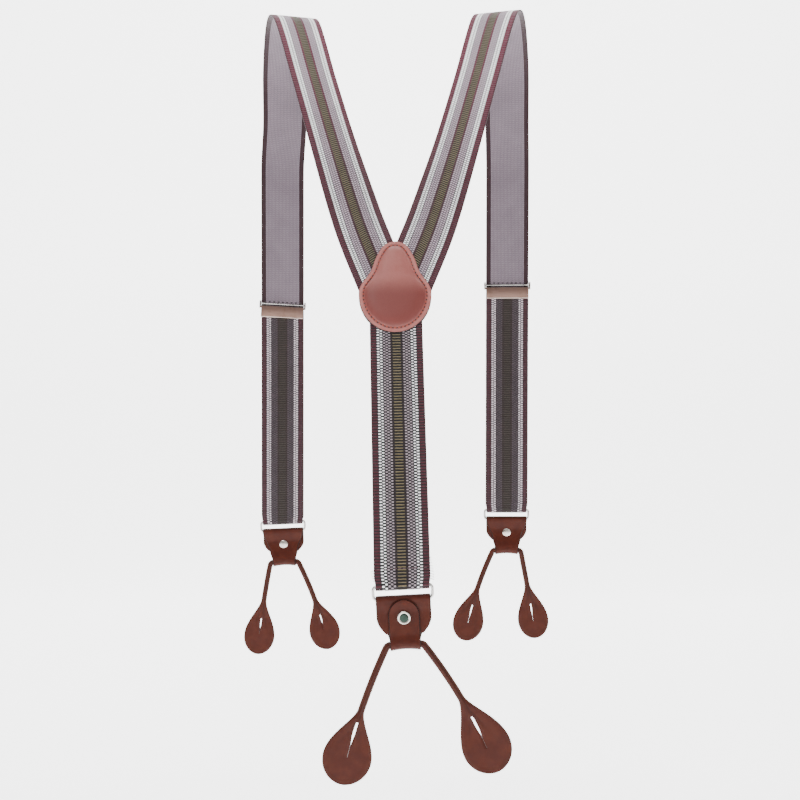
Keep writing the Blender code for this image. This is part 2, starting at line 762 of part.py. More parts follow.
def bend_end(angle):
    """Where the cord's bend outside the tab ends, and the way the cord then points."""
    across = TUNNEL_HALF_WIDTH + CORD_BEND * math.cos(angle)
    down = CORD_BEND * (1 - math.sin(angle))
    return Vector((across, 0, -down)), Vector((math.sin(angle), 0, -math.cos(angle)))


def mirrored(vector, sign):
    return Vector((sign * vector.x, vector.y, vector.z))


def flex_point(sign, angle):
    place_at, way = bend_end(angle)
    return mirrored(place_at + way * (1 * MM + FLEX_GAP), sign)


def runner_cord(end, spec, parent):
    """The middle of the runner: through the tunnel, and round a tight bend on each side."""
    points = []
    for shape in spec["legs"].values():
        sign, angle = shape["side"], shape["start"]
        place_at, way = bend_end(angle)
        half = [Vector((x, 0, 0)) for x in (3 * MM, 6 * MM)]
        for a in steps(math.pi / 2, angle, 5):
            half.append(bend_end(a)[0])
        half.append(place_at + way * 1 * MM)
        half = [mirrored(p, sign) for p in half]
        points = half[::-1] + [Vector((0, 0, 0))] if sign < 0 else points + half
    wire(f"{end}_runner_cord", points, CORD_RADIUS, "runner_leather", parent)


def leg_point(s, shape):
    """The leg's middle at distance s from its flex point, and its angle there. It bends evenly."""
    start, sign = shape["start"], shape["side"]
    bend = (shape["tip"] - start) / (shape["cord"] + shape["paddle"])
    angle = start + bend * s
    x = (math.cos(start) - math.cos(angle)) / bend
    z = -(math.sin(angle) - math.sin(start)) / bend
    return Vector((sign * x, 0, z)), angle


def paddle_half_width(s, spec, shape):
    """Half width at distance s below the end of the cord: a teardrop that ends in half an ellipse."""
    full = spec["paddle_half_width"]
    widest = shape["paddle"] - spec["paddle_end"]
    if s <= widest:
        return ease(CORD_RADIUS, full, (s / widest) ** 0.85)
    return full * math.sqrt(max(0, 1 - ((s - widest) / spec["paddle_end"]) ** 2))


def stadium(centre, across, half_width, half_thickness, per_end=6):
    """A flat oval in the plane of across and Y. It is a circle where both halves are equal."""
    flat = max(half_width - half_thickness, 0)
    ring_points = []
    for side in (1, -1):
        for angle in steps(-math.pi / 2, math.pi / 2, per_end - 1):
            x = side * (flat + half_thickness * math.cos(angle))
            ring_points.append(centre + across * x + Y * (side * half_thickness * math.sin(angle)))
    return ring_points


def leg(end, name, spec, runner_pivot):
    """One leg of the runner: round cord, then a flat paddle with a slit for the button."""
    shape = spec["legs"][name]
    sign, cord, paddle = shape["side"], shape["cord"], shape["paddle"]
    at = Matrix.Translation(flex_point(sign, shape["start"]))
    hinge = pivot(f"{end}_{name}_pivot", runner_pivot, at)
    flatten = 14 * MM
    tip = 0.7 * MM

    def section(s):
        centre, angle = leg_point(s, shape)
        across = Vector((math.cos(angle), 0, sign * math.sin(angle)))
        below = s - cord
        if below <= 0:
            return centre, across, CORD_RADIUS, CORD_RADIUS
        thick = ease(CORD_RADIUS, PADDLE_HALF_THICKNESS, below / flatten)
        return centre, across, max(paddle_half_width(below, spec, shape), thick), thick

    round_from = paddle - spec["paddle_end"]
    stations = [FLEX_GAP, *steps(0, cord, 4)[1:]]
    stations += [cord + s for s in steps(0, round_from, 9)[1:]]
    turns = steps(0, math.radians(75), 5)[1:]
    stations += [cord + round_from + spec["paddle_end"] * math.sin(a) for a in turns]
    stations.append(cord + paddle - tip)
    obj = loft(f"{end}_{name}", [stadium(*section(s)) for s in stations], "runner_leather", hinge)
    rings = []
    for s in steps(cord + shape["slit"][0], cord + shape["slit"][1], 4):
        centre, across, _, _ = section(s)
        wide, deep = across * SLIT_HALF_WIDTH, Y * 4 * MM
        corners = ((-1, -1), (1, -1), (1, 1), (-1, 1))
        rings.append([centre + wide * i + deep * j for i, j in corners])
    combine(obj, loft(f"{end}_{name}_slit", rings, None, hinge), "DIFFERENCE")


def leather_end(end, spec, bar):
    """Everything that hangs from one ring. Each moving piece's pivot is on its joint's axis."""
    turn = Matrix.Rotation(-spec["roll"], 4, "Y")
    ring_pivot = pivot(f"{end}_ring_pivot", None, Matrix.Translation(bar) @ turn)
    ring(end, ring_pivot)
    tab_pivot = pivot(f"{end}_tab_pivot", ring_pivot, Matrix.Translation((0, 0, -RING_BAR_SPACING)))
    tab(end, spec, tab_pivot)
    rivet(end, spec, tab_pivot)
    at = Matrix.Translation((0, 0, -spec["tunnel_drop"]))
    runner_pivot = pivot(f"{end}_runner_pivot", tab_pivot, at)
    runner_cord(end, spec, runner_pivot)
    for name in spec["legs"]:
        leg(end, name, spec, runner_pivot)


# ---- Assembly ----

yoke()
leather_end("back", ENDS["back"], back_webbing())
for side, strap in FRONT_STRAPS.items():
    shoulder_webbing(side, strap)
    leather_end(f"{side}_front", ENDS[f"{side}_front"], front_webbing(side, strap))
    adjuster(side, strap)
for obj in PARTS.objects:
    if obj.type == "MESH":
        smooth(obj)
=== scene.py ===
"""The looks of the suspenders: woven webbing, stitched leather, nickel fittings, light and the camera."""

import math

import bmesh
import bpy
import numpy as np
from mathutils import Matrix, Vector


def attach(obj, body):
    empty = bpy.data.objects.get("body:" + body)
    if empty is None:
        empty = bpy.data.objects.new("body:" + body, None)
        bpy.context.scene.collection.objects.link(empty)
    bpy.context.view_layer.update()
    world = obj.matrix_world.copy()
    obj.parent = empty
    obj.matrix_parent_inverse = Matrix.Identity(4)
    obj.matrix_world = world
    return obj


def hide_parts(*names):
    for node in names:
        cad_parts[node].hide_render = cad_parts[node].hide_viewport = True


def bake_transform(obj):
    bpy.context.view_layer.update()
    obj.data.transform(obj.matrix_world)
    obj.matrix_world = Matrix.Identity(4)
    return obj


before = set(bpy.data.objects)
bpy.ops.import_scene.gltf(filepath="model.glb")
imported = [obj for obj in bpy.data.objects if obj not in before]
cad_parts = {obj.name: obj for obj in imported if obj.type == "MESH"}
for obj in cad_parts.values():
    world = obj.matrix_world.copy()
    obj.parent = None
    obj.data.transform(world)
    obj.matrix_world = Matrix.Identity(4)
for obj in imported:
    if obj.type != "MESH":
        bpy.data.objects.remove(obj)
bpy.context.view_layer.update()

MM = 0.001
AIR = 0.3 * MM
X, Y = Vector((1, 0, 0)), Vector((0, 1, 0))

# ---- Dimensions, as in the CAD ----

WEBBING_WIDTH = 35 * MM
WEBBING_THICKNESS = 1.5 * MM
FOLD_WIDTH = 33.4 * MM

BACK_LEAN = math.radians(18.5)
BACK_SWAY = math.radians(1.35)
BACK_RING_ROLL = math.radians(3)
FRONT_ROLLS = {"left": math.radians(2.5), "right": 0}
YOKE_CENTRE = Vector((0, -0.0731, -0.2090))
BACK_STRAP_START = 13.5 * MM
BACK_STRAP_RUN = 201 * MM
BACK_SEAM = 10 * MM
BACK_FLAP = 19 * MM

YOKE_TOP_RADIUS, YOKE_TOP_CENTRE = 11 * MM, 21 * MM
YOKE_LOW_RADIUS, YOKE_LOW_CENTRE = 24.4 * MM, -7 * MM
YOKE_LOW_STRETCH = 1.13
YOKE_WAIST = 2.2 * MM
YOKE_WAIST_LOW, YOKE_WAIST_HIGH = -5 * MM, 22 * MM

WIRE_RADIUS = 0.9 * MM
RING_HALF_WIDTH = 18.35 * MM
RING_BAR_SPACING = 8.4 * MM
RING_CORNER = 2.6 * MM
EYE_RADIUS = 1.35 * MM
WEBBING_FOLD = EYE_RADIUS + WEBBING_THICKNESS / 2

LEATHER = 1.2 * MM
TAB_HALF_WIDTH = 17 * MM
TAB_WAIST = 11.6 * MM
TUNNEL_HALF_WIDTH = 9.4 * MM
TONGUE_HALF_WIDTH = 9.6 * MM
TAB_FOLD = EYE_RADIUS + LEATHER / 2
TAB_FLAT = (AIR + LEATHER) / 2
TONGUE_FLAT = TAB_FLAT + LEATHER + AIR
EASE_DEPTH = 9 * MM
RIVET_DEPTH = 11 * MM
POST_RADIUS = 1.2 * MM

CORD_RADIUS = 2.2 * MM
TUNNEL_RADIUS = CORD_RADIUS + AIR + LEATHER / 2
CORD_BEND = 3 * MM
FLEX_GAP = 0.65 * MM
PADDLE_HALF_THICKNESS = 1.1 * MM

PLATE_WIDTH = 34.8 * MM
PLATE_HEIGHT = 9.4 * MM
SHEET_METAL = 0.9 * MM
RETURN_DEPTH = WEBBING_THICKNESS + AIR
PLATE_DEPTH = RETURN_DEPTH + WEBBING_THICKNESS / 2 + AIR + SHEET_METAL / 2
CHEEK_INSIDE = 18 * MM
BAR_RISE = 1.6 * MM
ANVIL_RADIUS = 0.65 * MM
ANVIL_OUT = -(WEBBING_THICKNESS / 2 + AIR + ANVIL_RADIUS)
PIN_RADIUS = 0.8 * MM
PIN_OUT = 3.2 * MM
BARREL_RADIUS = 1.7 * MM
LEVER_HALF_WIDTH = 16.9 * MM
LEVER_LENGTH = 13.5 * MM
TEETH = 9
TOOTH_PITCH = 3.6 * MM
RETURN_END = 24 * MM

# The middle of the right strap's webbing, and how far its outer edge turns towards the back, in degrees
SHOULDER_ROUTE = [
    (0.0066, -0.0736, -0.2105, 0),
    (0.0203, -0.0625, -0.1772, 0),
    (0.0279, -0.0553, -0.1559, 7),
    (0.0432, -0.0420, -0.1067, 22),
    (0.0578, -0.0290, -0.0556, 26),
    (0.0708, -0.0118, -0.0090, 22),
    (0.0765, 0.0020, 0.0000, 14),
    (0.0825, 0.0300, -0.0045, 8),
    (0.0880, 0.0620, -0.0280, 0),
    (0.0900, 0.0800, -0.0620, 0),
]
CROWN_FADE = 0.10  # a low crown's drop dies out within this depth
FRONT_STRAPS = {
    "left": {
        "sign": -1,
        "crown_drop": 3.5 * MM,
        "run_top": Vector((-0.0930, 0.0910, -0.1000)),
        "run_end": Vector((-0.0955, 0.1185, -0.3878)),
        "adjuster_z": -0.2085,
        "adjuster_roll": math.radians(2.6),
    },
    "right": {
        "sign": 1,
        "crown_drop": 0,
        "run_top": Vector((0.0915, 0.0910, -0.1000)),
        "run_end": Vector((0.0929, 0.1175, -0.3777)),
        "adjuster_z": -0.1926,
        "adjuster_roll": 0,
    },
}


def leg_shape(side, start, tip, cord, paddle, slit):
    """Angles are from plumb, in degrees, where the leg leaves the tab and at its tip. Lengths are in mm,
    and the slit's ends are measured from the end of the cord."""
    return {
        "side": side,
        "start": math.radians(start),
        "tip": math.radians(tip),
        "cord": cord * MM,
        "paddle": paddle * MM,
        "slit": (slit[0] * MM, slit[1] * MM),
    }


FRONT_END = {
    "outward": 1,
    "tunnel_drop": 26 * MM,
    "free_end": 17.5 * MM,
    "rivet_radius": 3.8 * MM,
    "gape": 0.42 * MM,
    "paddle_half_width": 12.8 * MM,
    "paddle_end": 15.5 * MM,
}
ENDS = {
    "left_front": {
        **FRONT_END,
        "roll": FRONT_ROLLS["left"],
        "legs": {
            "outer_leg": leg_shape(-1, 13.5, 7.5, 28.5, 45.5, (15, 29)),
            "inner_leg": leg_shape(1, 24, 9, 32, 43, (13, 26)),
        },
    },
    "right_front": {
        **FRONT_END,
        "roll": FRONT_ROLLS["right"],
        "legs": {
            "inner_leg": leg_shape(-1, 25, 9, 31.5, 45, (14, 30)),
            "outer_leg": leg_shape(1, 11, 9, 25.5, 45.5, (16, 31)),
        },
    },
    "back": {
        "outward": -1,
        "roll": BACK_RING_ROLL,
        "tunnel_drop": 28.2 * MM,
        "free_end": 21.3 * MM,
        "rivet_radius": 4.2 * MM,
        "gape": 0.62 * MM,
        "paddle_half_width": 15.3 * MM,
        "paddle_end": 16.5 * MM,
        "legs": {
            "left_leg": leg_shape(-1, 27.5, 15, 40, 47, (7, 30)),
            "right_leg": leg_shape(1, 35, 18.5, 37.5, 51, (13, 35)),
        },
    },
}

LOOP_HEIGHT = 7 * MM  # the webbing turns into line with the ring within this height

# ---- Fine detail ----

STRIP_EDGE = 0.7 * MM  # a strip's edges are rounded within this width
TWILL = 0.4 * MM
UPPER_PITCH = 1.5 * MM  # one row of the weave along a shoulder strap
RETURN_PITCH = 1.5 * MM
BACK_PITCH = 1.95 * MM
ROW_STATIONS = 4  # mesh stations in one row
STITCH_INSET = 3.2 * MM
STITCH_PITCH = 2.75 * MM
STITCH_LENGTH = 1.45 * MM
THREAD_RADIUS = 0.46 * MM
SEAM_STITCHES = 12
SEAM_REACH = 14.5 * MM
ARCH = 1.0 * MM  # how far the cord rises in the middle of the tab
CUT_SLANT = 0.45  # the closed part of a slit is cut at a slant, so no light passes


# ---- Curves in numbers ----


def ease(start, end, t):
    t = min(max(t, 0), 1)
    return start + (end - start) * t * t * (3 - 2 * t)


def steps(start, end, count):
    return [start + (end - start) * i / count for i in range(count + 1)]


def smoothstep(low, high, value):
    t = np.clip((value - low) / (high - low), 0, 1)
    return t * t * (3 - 2 * t)


def through(points, spacing, end_tangent):
    """Points every spacing or less along a smooth curve through the given ones."""
    lengths = [0]
    for a, b in zip(points, points[1:]):
        lengths.append(lengths[-1] + (b - a).length)
    tangents = [(points[1] - points[0]) / lengths[1]]
    for i in range(1, len(points) - 1):
        tangents.append((points[i + 1] - points[i - 1]) / (lengths[i + 1] - lengths[i - 1]))
    tangents.append(end_tangent)
    found = []
    for i in range(len(points) - 1):
        span = lengths[i + 1] - lengths[i]
        count = math.ceil(span / spacing)
        for t in steps(0, 1, count)[:-1]:
            found.append(
                points[i] * (2 * t**3 - 3 * t**2 + 1)
                + tangents[i] * (span * (t**3 - 2 * t**2 + t))
                + points[i + 1] * (3 * t**2 - 2 * t**3)
                + tangents[i + 1] * (span * (t**3 - t**2))
            )
    return found + [points[-1]]


def resample(points, spacing):
    """The same polyline at an even spacing: its points and their distances from the start."""
    points = np.array(points, float)
    lengths = np.concatenate([[0], np.cumsum(np.linalg.norm(np.diff(points[:, :3], axis=0), axis=1))])
    count = max(2, round(lengths[-1] / spacing))
    at = np.linspace(0, lengths[-1], count + 1)
    return np.stack([np.interp(at, lengths, column) for column in points.T], axis=1), at


def unit(vectors):
    return vectors / np.linalg.norm(vectors, axis=-1, keepdims=True)


# ---- Node building ----


class Nodes:
    """Short calls for a material's node tree."""

    def __init__(self, name):
        self.material = bpy.data.materials.new(name)
        self.material.use_nodes = True
        self.tree = self.material.node_tree
        self.shader = self.tree.nodes["Principled BSDF"]

    def put(self, kind, inputs=None, **settings):
        node = self.tree.nodes.new("ShaderNode" + kind)
        for key, value in settings.items():
            setattr(node, key, value)
        for key, value in (inputs or {}).items():
            self.set(node.inputs[key], value)
        return node

    def set(self, socket, value):
        if isinstance(value, bpy.types.NodeSocket):
            self.tree.links.new(value, socket)
        else:
            socket.default_value = value

    def math(self, operation, a, b=0, c=0, clamp=False):
        return self.put("Math", {0: a, 1: b, 2: c}, operation=operation, use_clamp=clamp).outputs[0]

    def mix(self, factor, a, b, blend="MIX"):
        node = self.put("Mix", data_type="RGBA", blend_type=blend)
        self.set(node.inputs["Factor"], factor)
        self.set(node.inputs["A"], a if isinstance(a, bpy.types.NodeSocket) else (*a, 1))
        self.set(node.inputs["B"], b if isinstance(b, bpy.types.NodeSocket) else (*b, 1))
        return next(o for o in node.outputs if o.type == "RGBA")

    def ramp(self, factor, stops):
        """stops are (position, colour or number)."""
        node = self.put("ValToRGB", {"Fac": factor})
        elements = node.color_ramp.elements
        while len(elements) < len(stops):
            elements.new(1)
        for element, (position, colour) in zip(elements, stops):
            element.position = position
            element.color = (colour,) * 3 + (1,) if isinstance(colour, (int, float)) else (*colour, 1)
        return node.outputs["Color"]

    def smooth(self, value, low, high):
        return self.put(
            "MapRange",
            {"Value": value, "From Min": low, "From Max": high},
            interpolation_type="SMOOTHSTEP",
        ).outputs["Result"]

    def noise(self, vector, scale, detail=3, roughness=0.5):
        inputs = {"Vector": vector, "Scale": scale, "Detail": detail, "Roughness": roughness}
        return self.put("TexNoise", inputs).outputs["Fac"]

    def finish(self, colour, roughness, bumps=(), **constants):
        self.set(self.shader.inputs["Base Color"], colour)
        self.set(self.shader.inputs["Roughness"], roughness)
        normal = None
        for height, distance in bumps:
            bump = self.put("Bump", {"Height": height, "Distance": distance, "Strength": 1.0})
            if normal:
                self.set(bump.inputs["Normal"], normal)
            normal = bump.outputs["Normal"]
        if normal:
            self.set(self.shader.inputs["Normal"], normal)
        for key, value in constants.items():
            self.shader.inputs[key.replace("_", " ")].default_value = value
        return self.material


def srgb(text):
    """A colour in linear light from its six-digit code."""
    values = [int(text[i : i + 2], 16) / 255 for i in (0, 2, 4)]
    return tuple(v / 12.92 if v <= 0.04045 else ((v + 0.055) / 1.055) ** 2.4 for v in values)


# ---- Materials ----

# Places across the weave, in mm from the selvedge
HALF_MM = 17.5
SELVEDGE = 4.1
DASHES_FROM, DASHES_TO = 4.2, 13.6
ODD_COLUMNS = ((6.45, 8.45), (10.2, 11.9))  # dashes set half a row along, as in brickwork
CENTRE_FROM = 14.7


def bands(stops):
    """Steps with a narrow blend, for a colour ramp over the half width. stops are (start in mm, value)."""
    found = [(0.0, stops[0][1])]
    for (_, before), (start, after) in zip(stops, stops[1:]):
        found.append(((start - 0.12) / HALF_MM, before))
        found.append(((start + 0.12) / HALF_MM, after))
    return found


def webbing_face(name, pitch, colours, contrast=1.0, fuzz=0.35, lean=0.0, fill=0.32, lit=None):
    """The striped face. Its weave map holds millimetres across and along the webbing. lean slants the rows,
    fill is the dashes' share of a row, and lit gives the lighter, more solid bands painted near the crown
    as a highlight."""
    n = Nodes(name)
    place = n.put("UVMap", uv_map="weave").outputs["UV"]
    split = n.put("SeparateXYZ", {"Vector": place})
    across, along = split.outputs["X"], split.outputs["Y"]
    wander = n.noise(place, 0.55, 2)
    along = n.math("MULTIPLY_ADD", n.math("SUBTRACT", wander, 0.5), 0.35, along)
    inset = n.math("SUBTRACT", HALF_MM, n.math("ABSOLUTE", across))
    side = n.math("DIVIDE", inset, HALF_MM)
    row = n.math("DIVIDE", along, pitch / MM)

    rib = n.math("PINGPONG", row, 0.5)  # 0 between rows, a half on them
    rows = n.smooth(rib, 0.16, 0.30)
    fine = n.math("PINGPONG", n.math("MULTIPLY_ADD", across, lean * 2.5, row), 0.5)
    ribs = n.smooth(fine, 0.29, 0.41)
    odd_stops = [(at, value) for column in ODD_COLUMNS for at, value in zip(column, (1, 0))]
    is_odd = n.ramp(side, bands([(0, 0), *odd_stops]))
    leaning = n.math("MULTIPLY_ADD", inset, lean, row)
    shifted = n.math("PINGPONG", n.math("MULTIPLY_ADD", is_odd, 0.5, leaning), 0.5)
    bricks = n.smooth(shifted, 0.5 - fill, 0.62 - fill)
    is_brick = n.ramp(side, bands([(0, 0), (DASHES_FROM, 1), (DASHES_TO, 0)]))
    is_centre = n.ramp(side, bands([(0, 0), (CENTRE_FROM, 1)]))
    mask = n.mix(is_brick, rows, bricks)
    mask = n.mix(is_centre, mask, ribs)
    mask = n.math("MULTIPLY_ADD", n.math("SUBTRACT", mask, 0.5), contrast, 0.5, clamp=True)

    tops = n.ramp(side, bands(colours["tops"]))
    gaps = n.ramp(side, bands(colours["gaps"]))
    colour = n.mix(mask, gaps, tops)
    if lit:
        # towards the crown the bands are painted lighter and more solid, as a highlight where the strap
        # catches the light
        crown_highlight = n.math("SUBTRACT", n.smooth(along, 70.0, 215.0), n.smooth(along, 290.0, 390.0))
        crown_highlight = n.math("MULTIPLY", crown_highlight, 0.6)
        colour = n.mix(crown_highlight, colour, n.ramp(side, bands(lit)))
    yarn = n.noise(place, 3.2, 4, 0.7)
    blotch = n.noise(place, 0.09, 2)
    speckled = n.mix(1.0, colour, n.ramp(yarn, [(0.3, 0.55), (0.7, 1.35)]), "MULTIPLY")
    colour = n.mix(fuzz, colour, speckled)
    colour = n.mix(1.0, colour, n.ramp(blotch, [(0.3, 0.93), (0.7, 1.05)]), "MULTIPLY")
    warp = n.math("PINGPONG", n.math("DIVIDE", across, 0.62), 0.5)
    return n.finish(
        colour,
        0.82,
        [(warp, 0.00009), (mask, 0.00016), (yarn, 0.00010)],
        Sheen_Weight=0.25,
        Sheen_Roughness=0.5,
        Specular_IOR_Level=0.25,
    )


def face_colours(maroon, thread, white, check, check_gap, border, olive, olive_gap, gap):
    """Each band's colour on the dashes and between them, from the selvedge to the middle."""
    selvedge = tuple(c * 0.45 for c in maroon)
    lines = [(4.1, gap), (4.55, white), (6.15, gap), (6.65, white), (8.05, gap), (8.65, check)]
    lines += [(10.0, gap), (10.35, check), (11.7, gap), (12.05, check), (13.4, border), (14.9, olive)]
    between = {white: gap, check: check_gap, olive: olive_gap}
    gaps = [(at, between.get(colour, colour)) for at, colour in lines]
    return {
        "tops": [(0, selvedge), (0.5, maroon), *lines],
        "gaps": [(0, selvedge), (0.5, thread), *gaps],
    }


def webbing_reverse():
    """The plain inner side: a fine twill between two dark selvedges."""
    n = Nodes("webbing_reverse")
    place = n.put("UVMap", uv_map="weave").outputs["UV"]
    split = n.put("SeparateXYZ", {"Vector": place})
    across, along = split.outputs["X"], split.outputs["Y"]
    side = n.math("DIVIDE", n.math("SUBTRACT", HALF_MM, n.math("ABSOLUTE", across)), HALF_MM)
    wale = n.math("PINGPONG", n.math("DIVIDE", across, 1.15), 0.5)
    twill = n.math("PINGPONG", n.math("MULTIPLY_ADD", across, 0.87, n.math("DIVIDE", along, 1.5)), 0.5)
    weave = n.math("MULTIPLY", n.smooth(twill, 0.06, 0.34), n.smooth(wale, 0.02, 0.22))
    yarn = n.noise(place, 3.5, 4, 0.7)
    blotch = n.noise(place, 0.06, 2)
    base = n.mix(weave, srgb("4A4048"), srgb("81757E"))
    base = n.mix(0.4, base, n.mix(1.0, base, n.ramp(yarn, [(0.3, 0.6), (0.7, 1.35)]), "MULTIPLY"))
    base = n.mix(1.0, base, n.ramp(blotch, [(0.3, 0.92), (0.7, 1.05)]), "MULTIPLY")
    edge = n.mix(weave, srgb("1A0D11"), srgb("331A21"))
    is_edge = n.ramp(side, bands([(0, 1), (3.8, 0)]))
    colour = n.mix(is_edge, base, edge)
    return n.finish(
        colour,
        0.85,
        [(weave, 0.00010), (yarn, 0.00010)],
        Sheen_Weight=0.25,
        Sheen_Roughness=0.5,
        Specular_IOR_Level=0.2,
    )


def leather(name, base, light, dark, roughness, grain=1.0, deep=None, specular=0.13):
    """Smooth hide: fine pores, soft mottling, darker cut edges, painted shade in folds and a painted
    sheen on rims. It is painted a deeper, shaded colour where its shade attribute is 1.
    """
    n = Nodes(name)
    place = n.put("TexCoord").outputs["Object"]
    mottle = n.noise(place, 130, 4, 0.6)
    pores = n.put("TexVoronoi", {"Vector": place, "Scale": 2600.0}, feature="DISTANCE_TO_EDGE")
    creases = n.put("TexVoronoi", {"Vector": place, "Scale": 900.0}, feature="DISTANCE_TO_EDGE")
    speck = n.noise(place, 1900, 3, 0.7)
    colour = n.mix(n.smooth(mottle, 0.34, 0.68), base, light)
    # painted shade: the colour goes to deep, a shaded colour, as the shade attribute rises
    if deep:
        yoke_shade = n.put("Attribute", attribute_name="yoke_shade").outputs["Fac"]
        colour = n.mix(yoke_shade, colour, deep)
    # painted sheen: a lighter, patchy band along a rim
    rim_sheen = n.put("Attribute", attribute_name="rim_sheen").outputs["Fac"]
    sheen_mask = n.math("MULTIPLY", rim_sheen, n.smooth(mottle, 0.2, 0.6))
    colour = n.mix(sheen_mask, colour, tuple(min(1, c * 1.5 + 0.02) for c in light))
    edge = n.put("Attribute", attribute_name="edge").outputs["Fac"]
    colour = n.mix(n.smooth(edge, 0.25, 0.95), colour, dark)
    # painted shade along the folds of the lapped seam
    lap_shade = n.put("Attribute", attribute_name="lap_shade").outputs["Fac"]
    colour = n.mix(n.math("MULTIPLY", lap_shade, 0.75), colour, dark)
    speckled = n.mix(1.0, colour, n.ramp(speck, [(0.3, 0.7), (0.7, 1.25)]), "MULTIPLY")
    colour = n.mix(0.35, colour, speckled)
    rough = n.math("MULTIPLY_ADD", n.math("SUBTRACT", mottle, 0.5), 0.25, roughness)
    bumps = [
        (n.smooth(pores.outputs["Distance"], 0.0, 0.25), 0.000022 * grain),
        (n.smooth(creases.outputs["Distance"], 0.0, 0.12), 0.000030 * grain),
        (mottle, 0.00005 * grain),
    ]
    return n.finish(colour, rough, bumps, Specular_IOR_Level=specular)


def metal(name, colour, dark, roughness, scratch_scale=900):
    n = Nodes(name)
    place = n.put("TexCoord").outputs["Object"]
    stretched = n.put("Mapping", {"Vector": place, "Scale": (0.05, 1.0, 1.0)}).outputs["Vector"]
    scratches = n.noise(stretched, scratch_scale * 4, 4, 0.7)
    tarnish = n.noise(place, 160, 3, 0.6)
    tint = n.mix(n.smooth(tarnish, 0.45, 0.8), colour, dark)
    rough = n.math("MULTIPLY_ADD", n.math("SUBTRACT", scratches, 0.5), 0.25, roughness)
    return n.finish(tint, rough, [(scratches, 0.00001)], Metallic=1.0)


def thread_material(name, colour):
    n = Nodes(name)
    place = n.put("TexCoord").outputs["Object"]
    twist = n.noise(place, 3500, 3, 0.7)
    shade = n.mix(n.smooth(twist, 0.35, 0.7), tuple(c * 0.5 for c in colour), colour)
    return n.finish(shade, 0.6, [(twist, 0.00005)], Sheen_Weight=0.2)


FACE_BACK = webbing_face(
    "webbing_face_back",
    BACK_PITCH,
    face_colours(
        srgb("40141F"), srgb("19080D"), srgb("FBF9FB"), srgb("96888F"), srgb("120B10"),
        srgb("15090C"), srgb("6C5F44"), srgb("0C0807"), srgb("0E080C"),
    ),
    contrast=1.25,
    fill=0.28,
)
FACE_UPPER = webbing_face(
    "webbing_face_upper",
    UPPER_PITCH,
    face_colours(
        srgb("4A1825"), srgb("240C14"), srgb("FDFCFD"), srgb("AFA0AA"), srgb("3C2833"),
        srgb("2E1218"), srgb("6E6448"), srgb("160C09"), srgb("1C1017"),
    ),
    contrast=1.2,
    lean=0.06,
    fill=0.34,
    # painted highlight colours for the crown
    lit=[
        (0, srgb("3A1020")), (0.5, srgb("661A34")), (4.1, srgb("FFFFFF")), (6.2, srgb("4A3A44")),
        (6.5, srgb("FFFFFF")), (8.2, srgb("4A3A44")), (8.5, srgb("A3959E")), (13.4, srgb("641C34")),
        (14.9, srgb("4A4230")),
    ],
)
# the return layer's face: the same weave, painted darker and flatter as painted shade
FACE_RETURN_SHADED = webbing_face(
    "webbing_face_return_shaded",
    RETURN_PITCH,
    face_colours(
        srgb("37111C"), srgb("1C090F"), srgb("CFC2C8"), srgb("42373C"), srgb("170F14"),
        srgb("1C0F0E"), srgb("2A201A"), srgb("170F0B"), srgb("160D12"),
    ),
    contrast=1.2,
    fill=0.29,
)
REVERSE = webbing_reverse()
# the yoke's last colour is a painted shade colour for the patch's lower middle
YOKE_LEATHER = leather(
    "yoke_leather", srgb("915651"), srgb("965C56"), srgb("241210"), 0.36, 0.6, srgb("663430"), specular=0.22
)
TAB_LEATHER = leather("tab_leather", srgb("381208"), srgb("40170B"), srgb("100503"), 0.34)
RUNNER_LEATHER = leather("runner_leather", srgb("3A140A"), srgb("42190D"), srgb("140604"), 0.34)
NICKEL = metal("nickel", srgb("C2BFBC"), srgb("8C8885"), 0.18)
RIVET_METAL = metal("rivet_metal", srgb("CFC8BE"), srgb("988F84"), 0.18)
RIVET_FACE = metal("rivet_face", srgb("2E3A34"), srgb("161C19"), 0.12)
PLATE = metal("plate_metal", srgb("725B52"), srgb("5F4A42"), 0.38)
PLATE_EDGE_HIGHLIGHT = metal("plate_edge_highlight", srgb("D6C4BA"), srgb("B7A297"), 0.3)
CHEEK_METAL = metal("cheek_metal", srgb("544743"), srgb("383030"), 0.32)
YOKE_THREAD = thread_material("yoke_thread", srgb("A2381F"))
SEAM_THREAD = thread_material("seam_thread", srgb("54323A"))
FRAY_THREAD = thread_material("fray_thread", srgb("3E161F"))
SHADE = thread_material("needle_hole_shade", srgb("3E0F0A"))
DENT_SHADE = thread_material("tooth_dent_shade", srgb("26191E"))


# ---- Mesh building ----


def new_object(name, mesh, materials):
    obj = bpy.data.objects.new(name, mesh)
    bpy.context.scene.collection.objects.link(obj)
    for material in materials:
        obj.data.materials.append(material)
    return obj


def fit(obj, slot, body, *nodes):
    """Gives a piece its body, and hides the CAD nodes that it stands for. slot is not used."""
    if nodes:
        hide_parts(*nodes)
    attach(obj, body)


def face_outwards(mesh):
    bm = bmesh.new()
    bm.from_mesh(mesh)
    bmesh.ops.recalc_face_normals(bm, faces=bm.faces)
    bm.to_mesh(mesh)
    bm.free()


def shade_smooth(mesh):
    mesh.polygons.foreach_set("use_smooth", [True] * len(mesh.polygons))


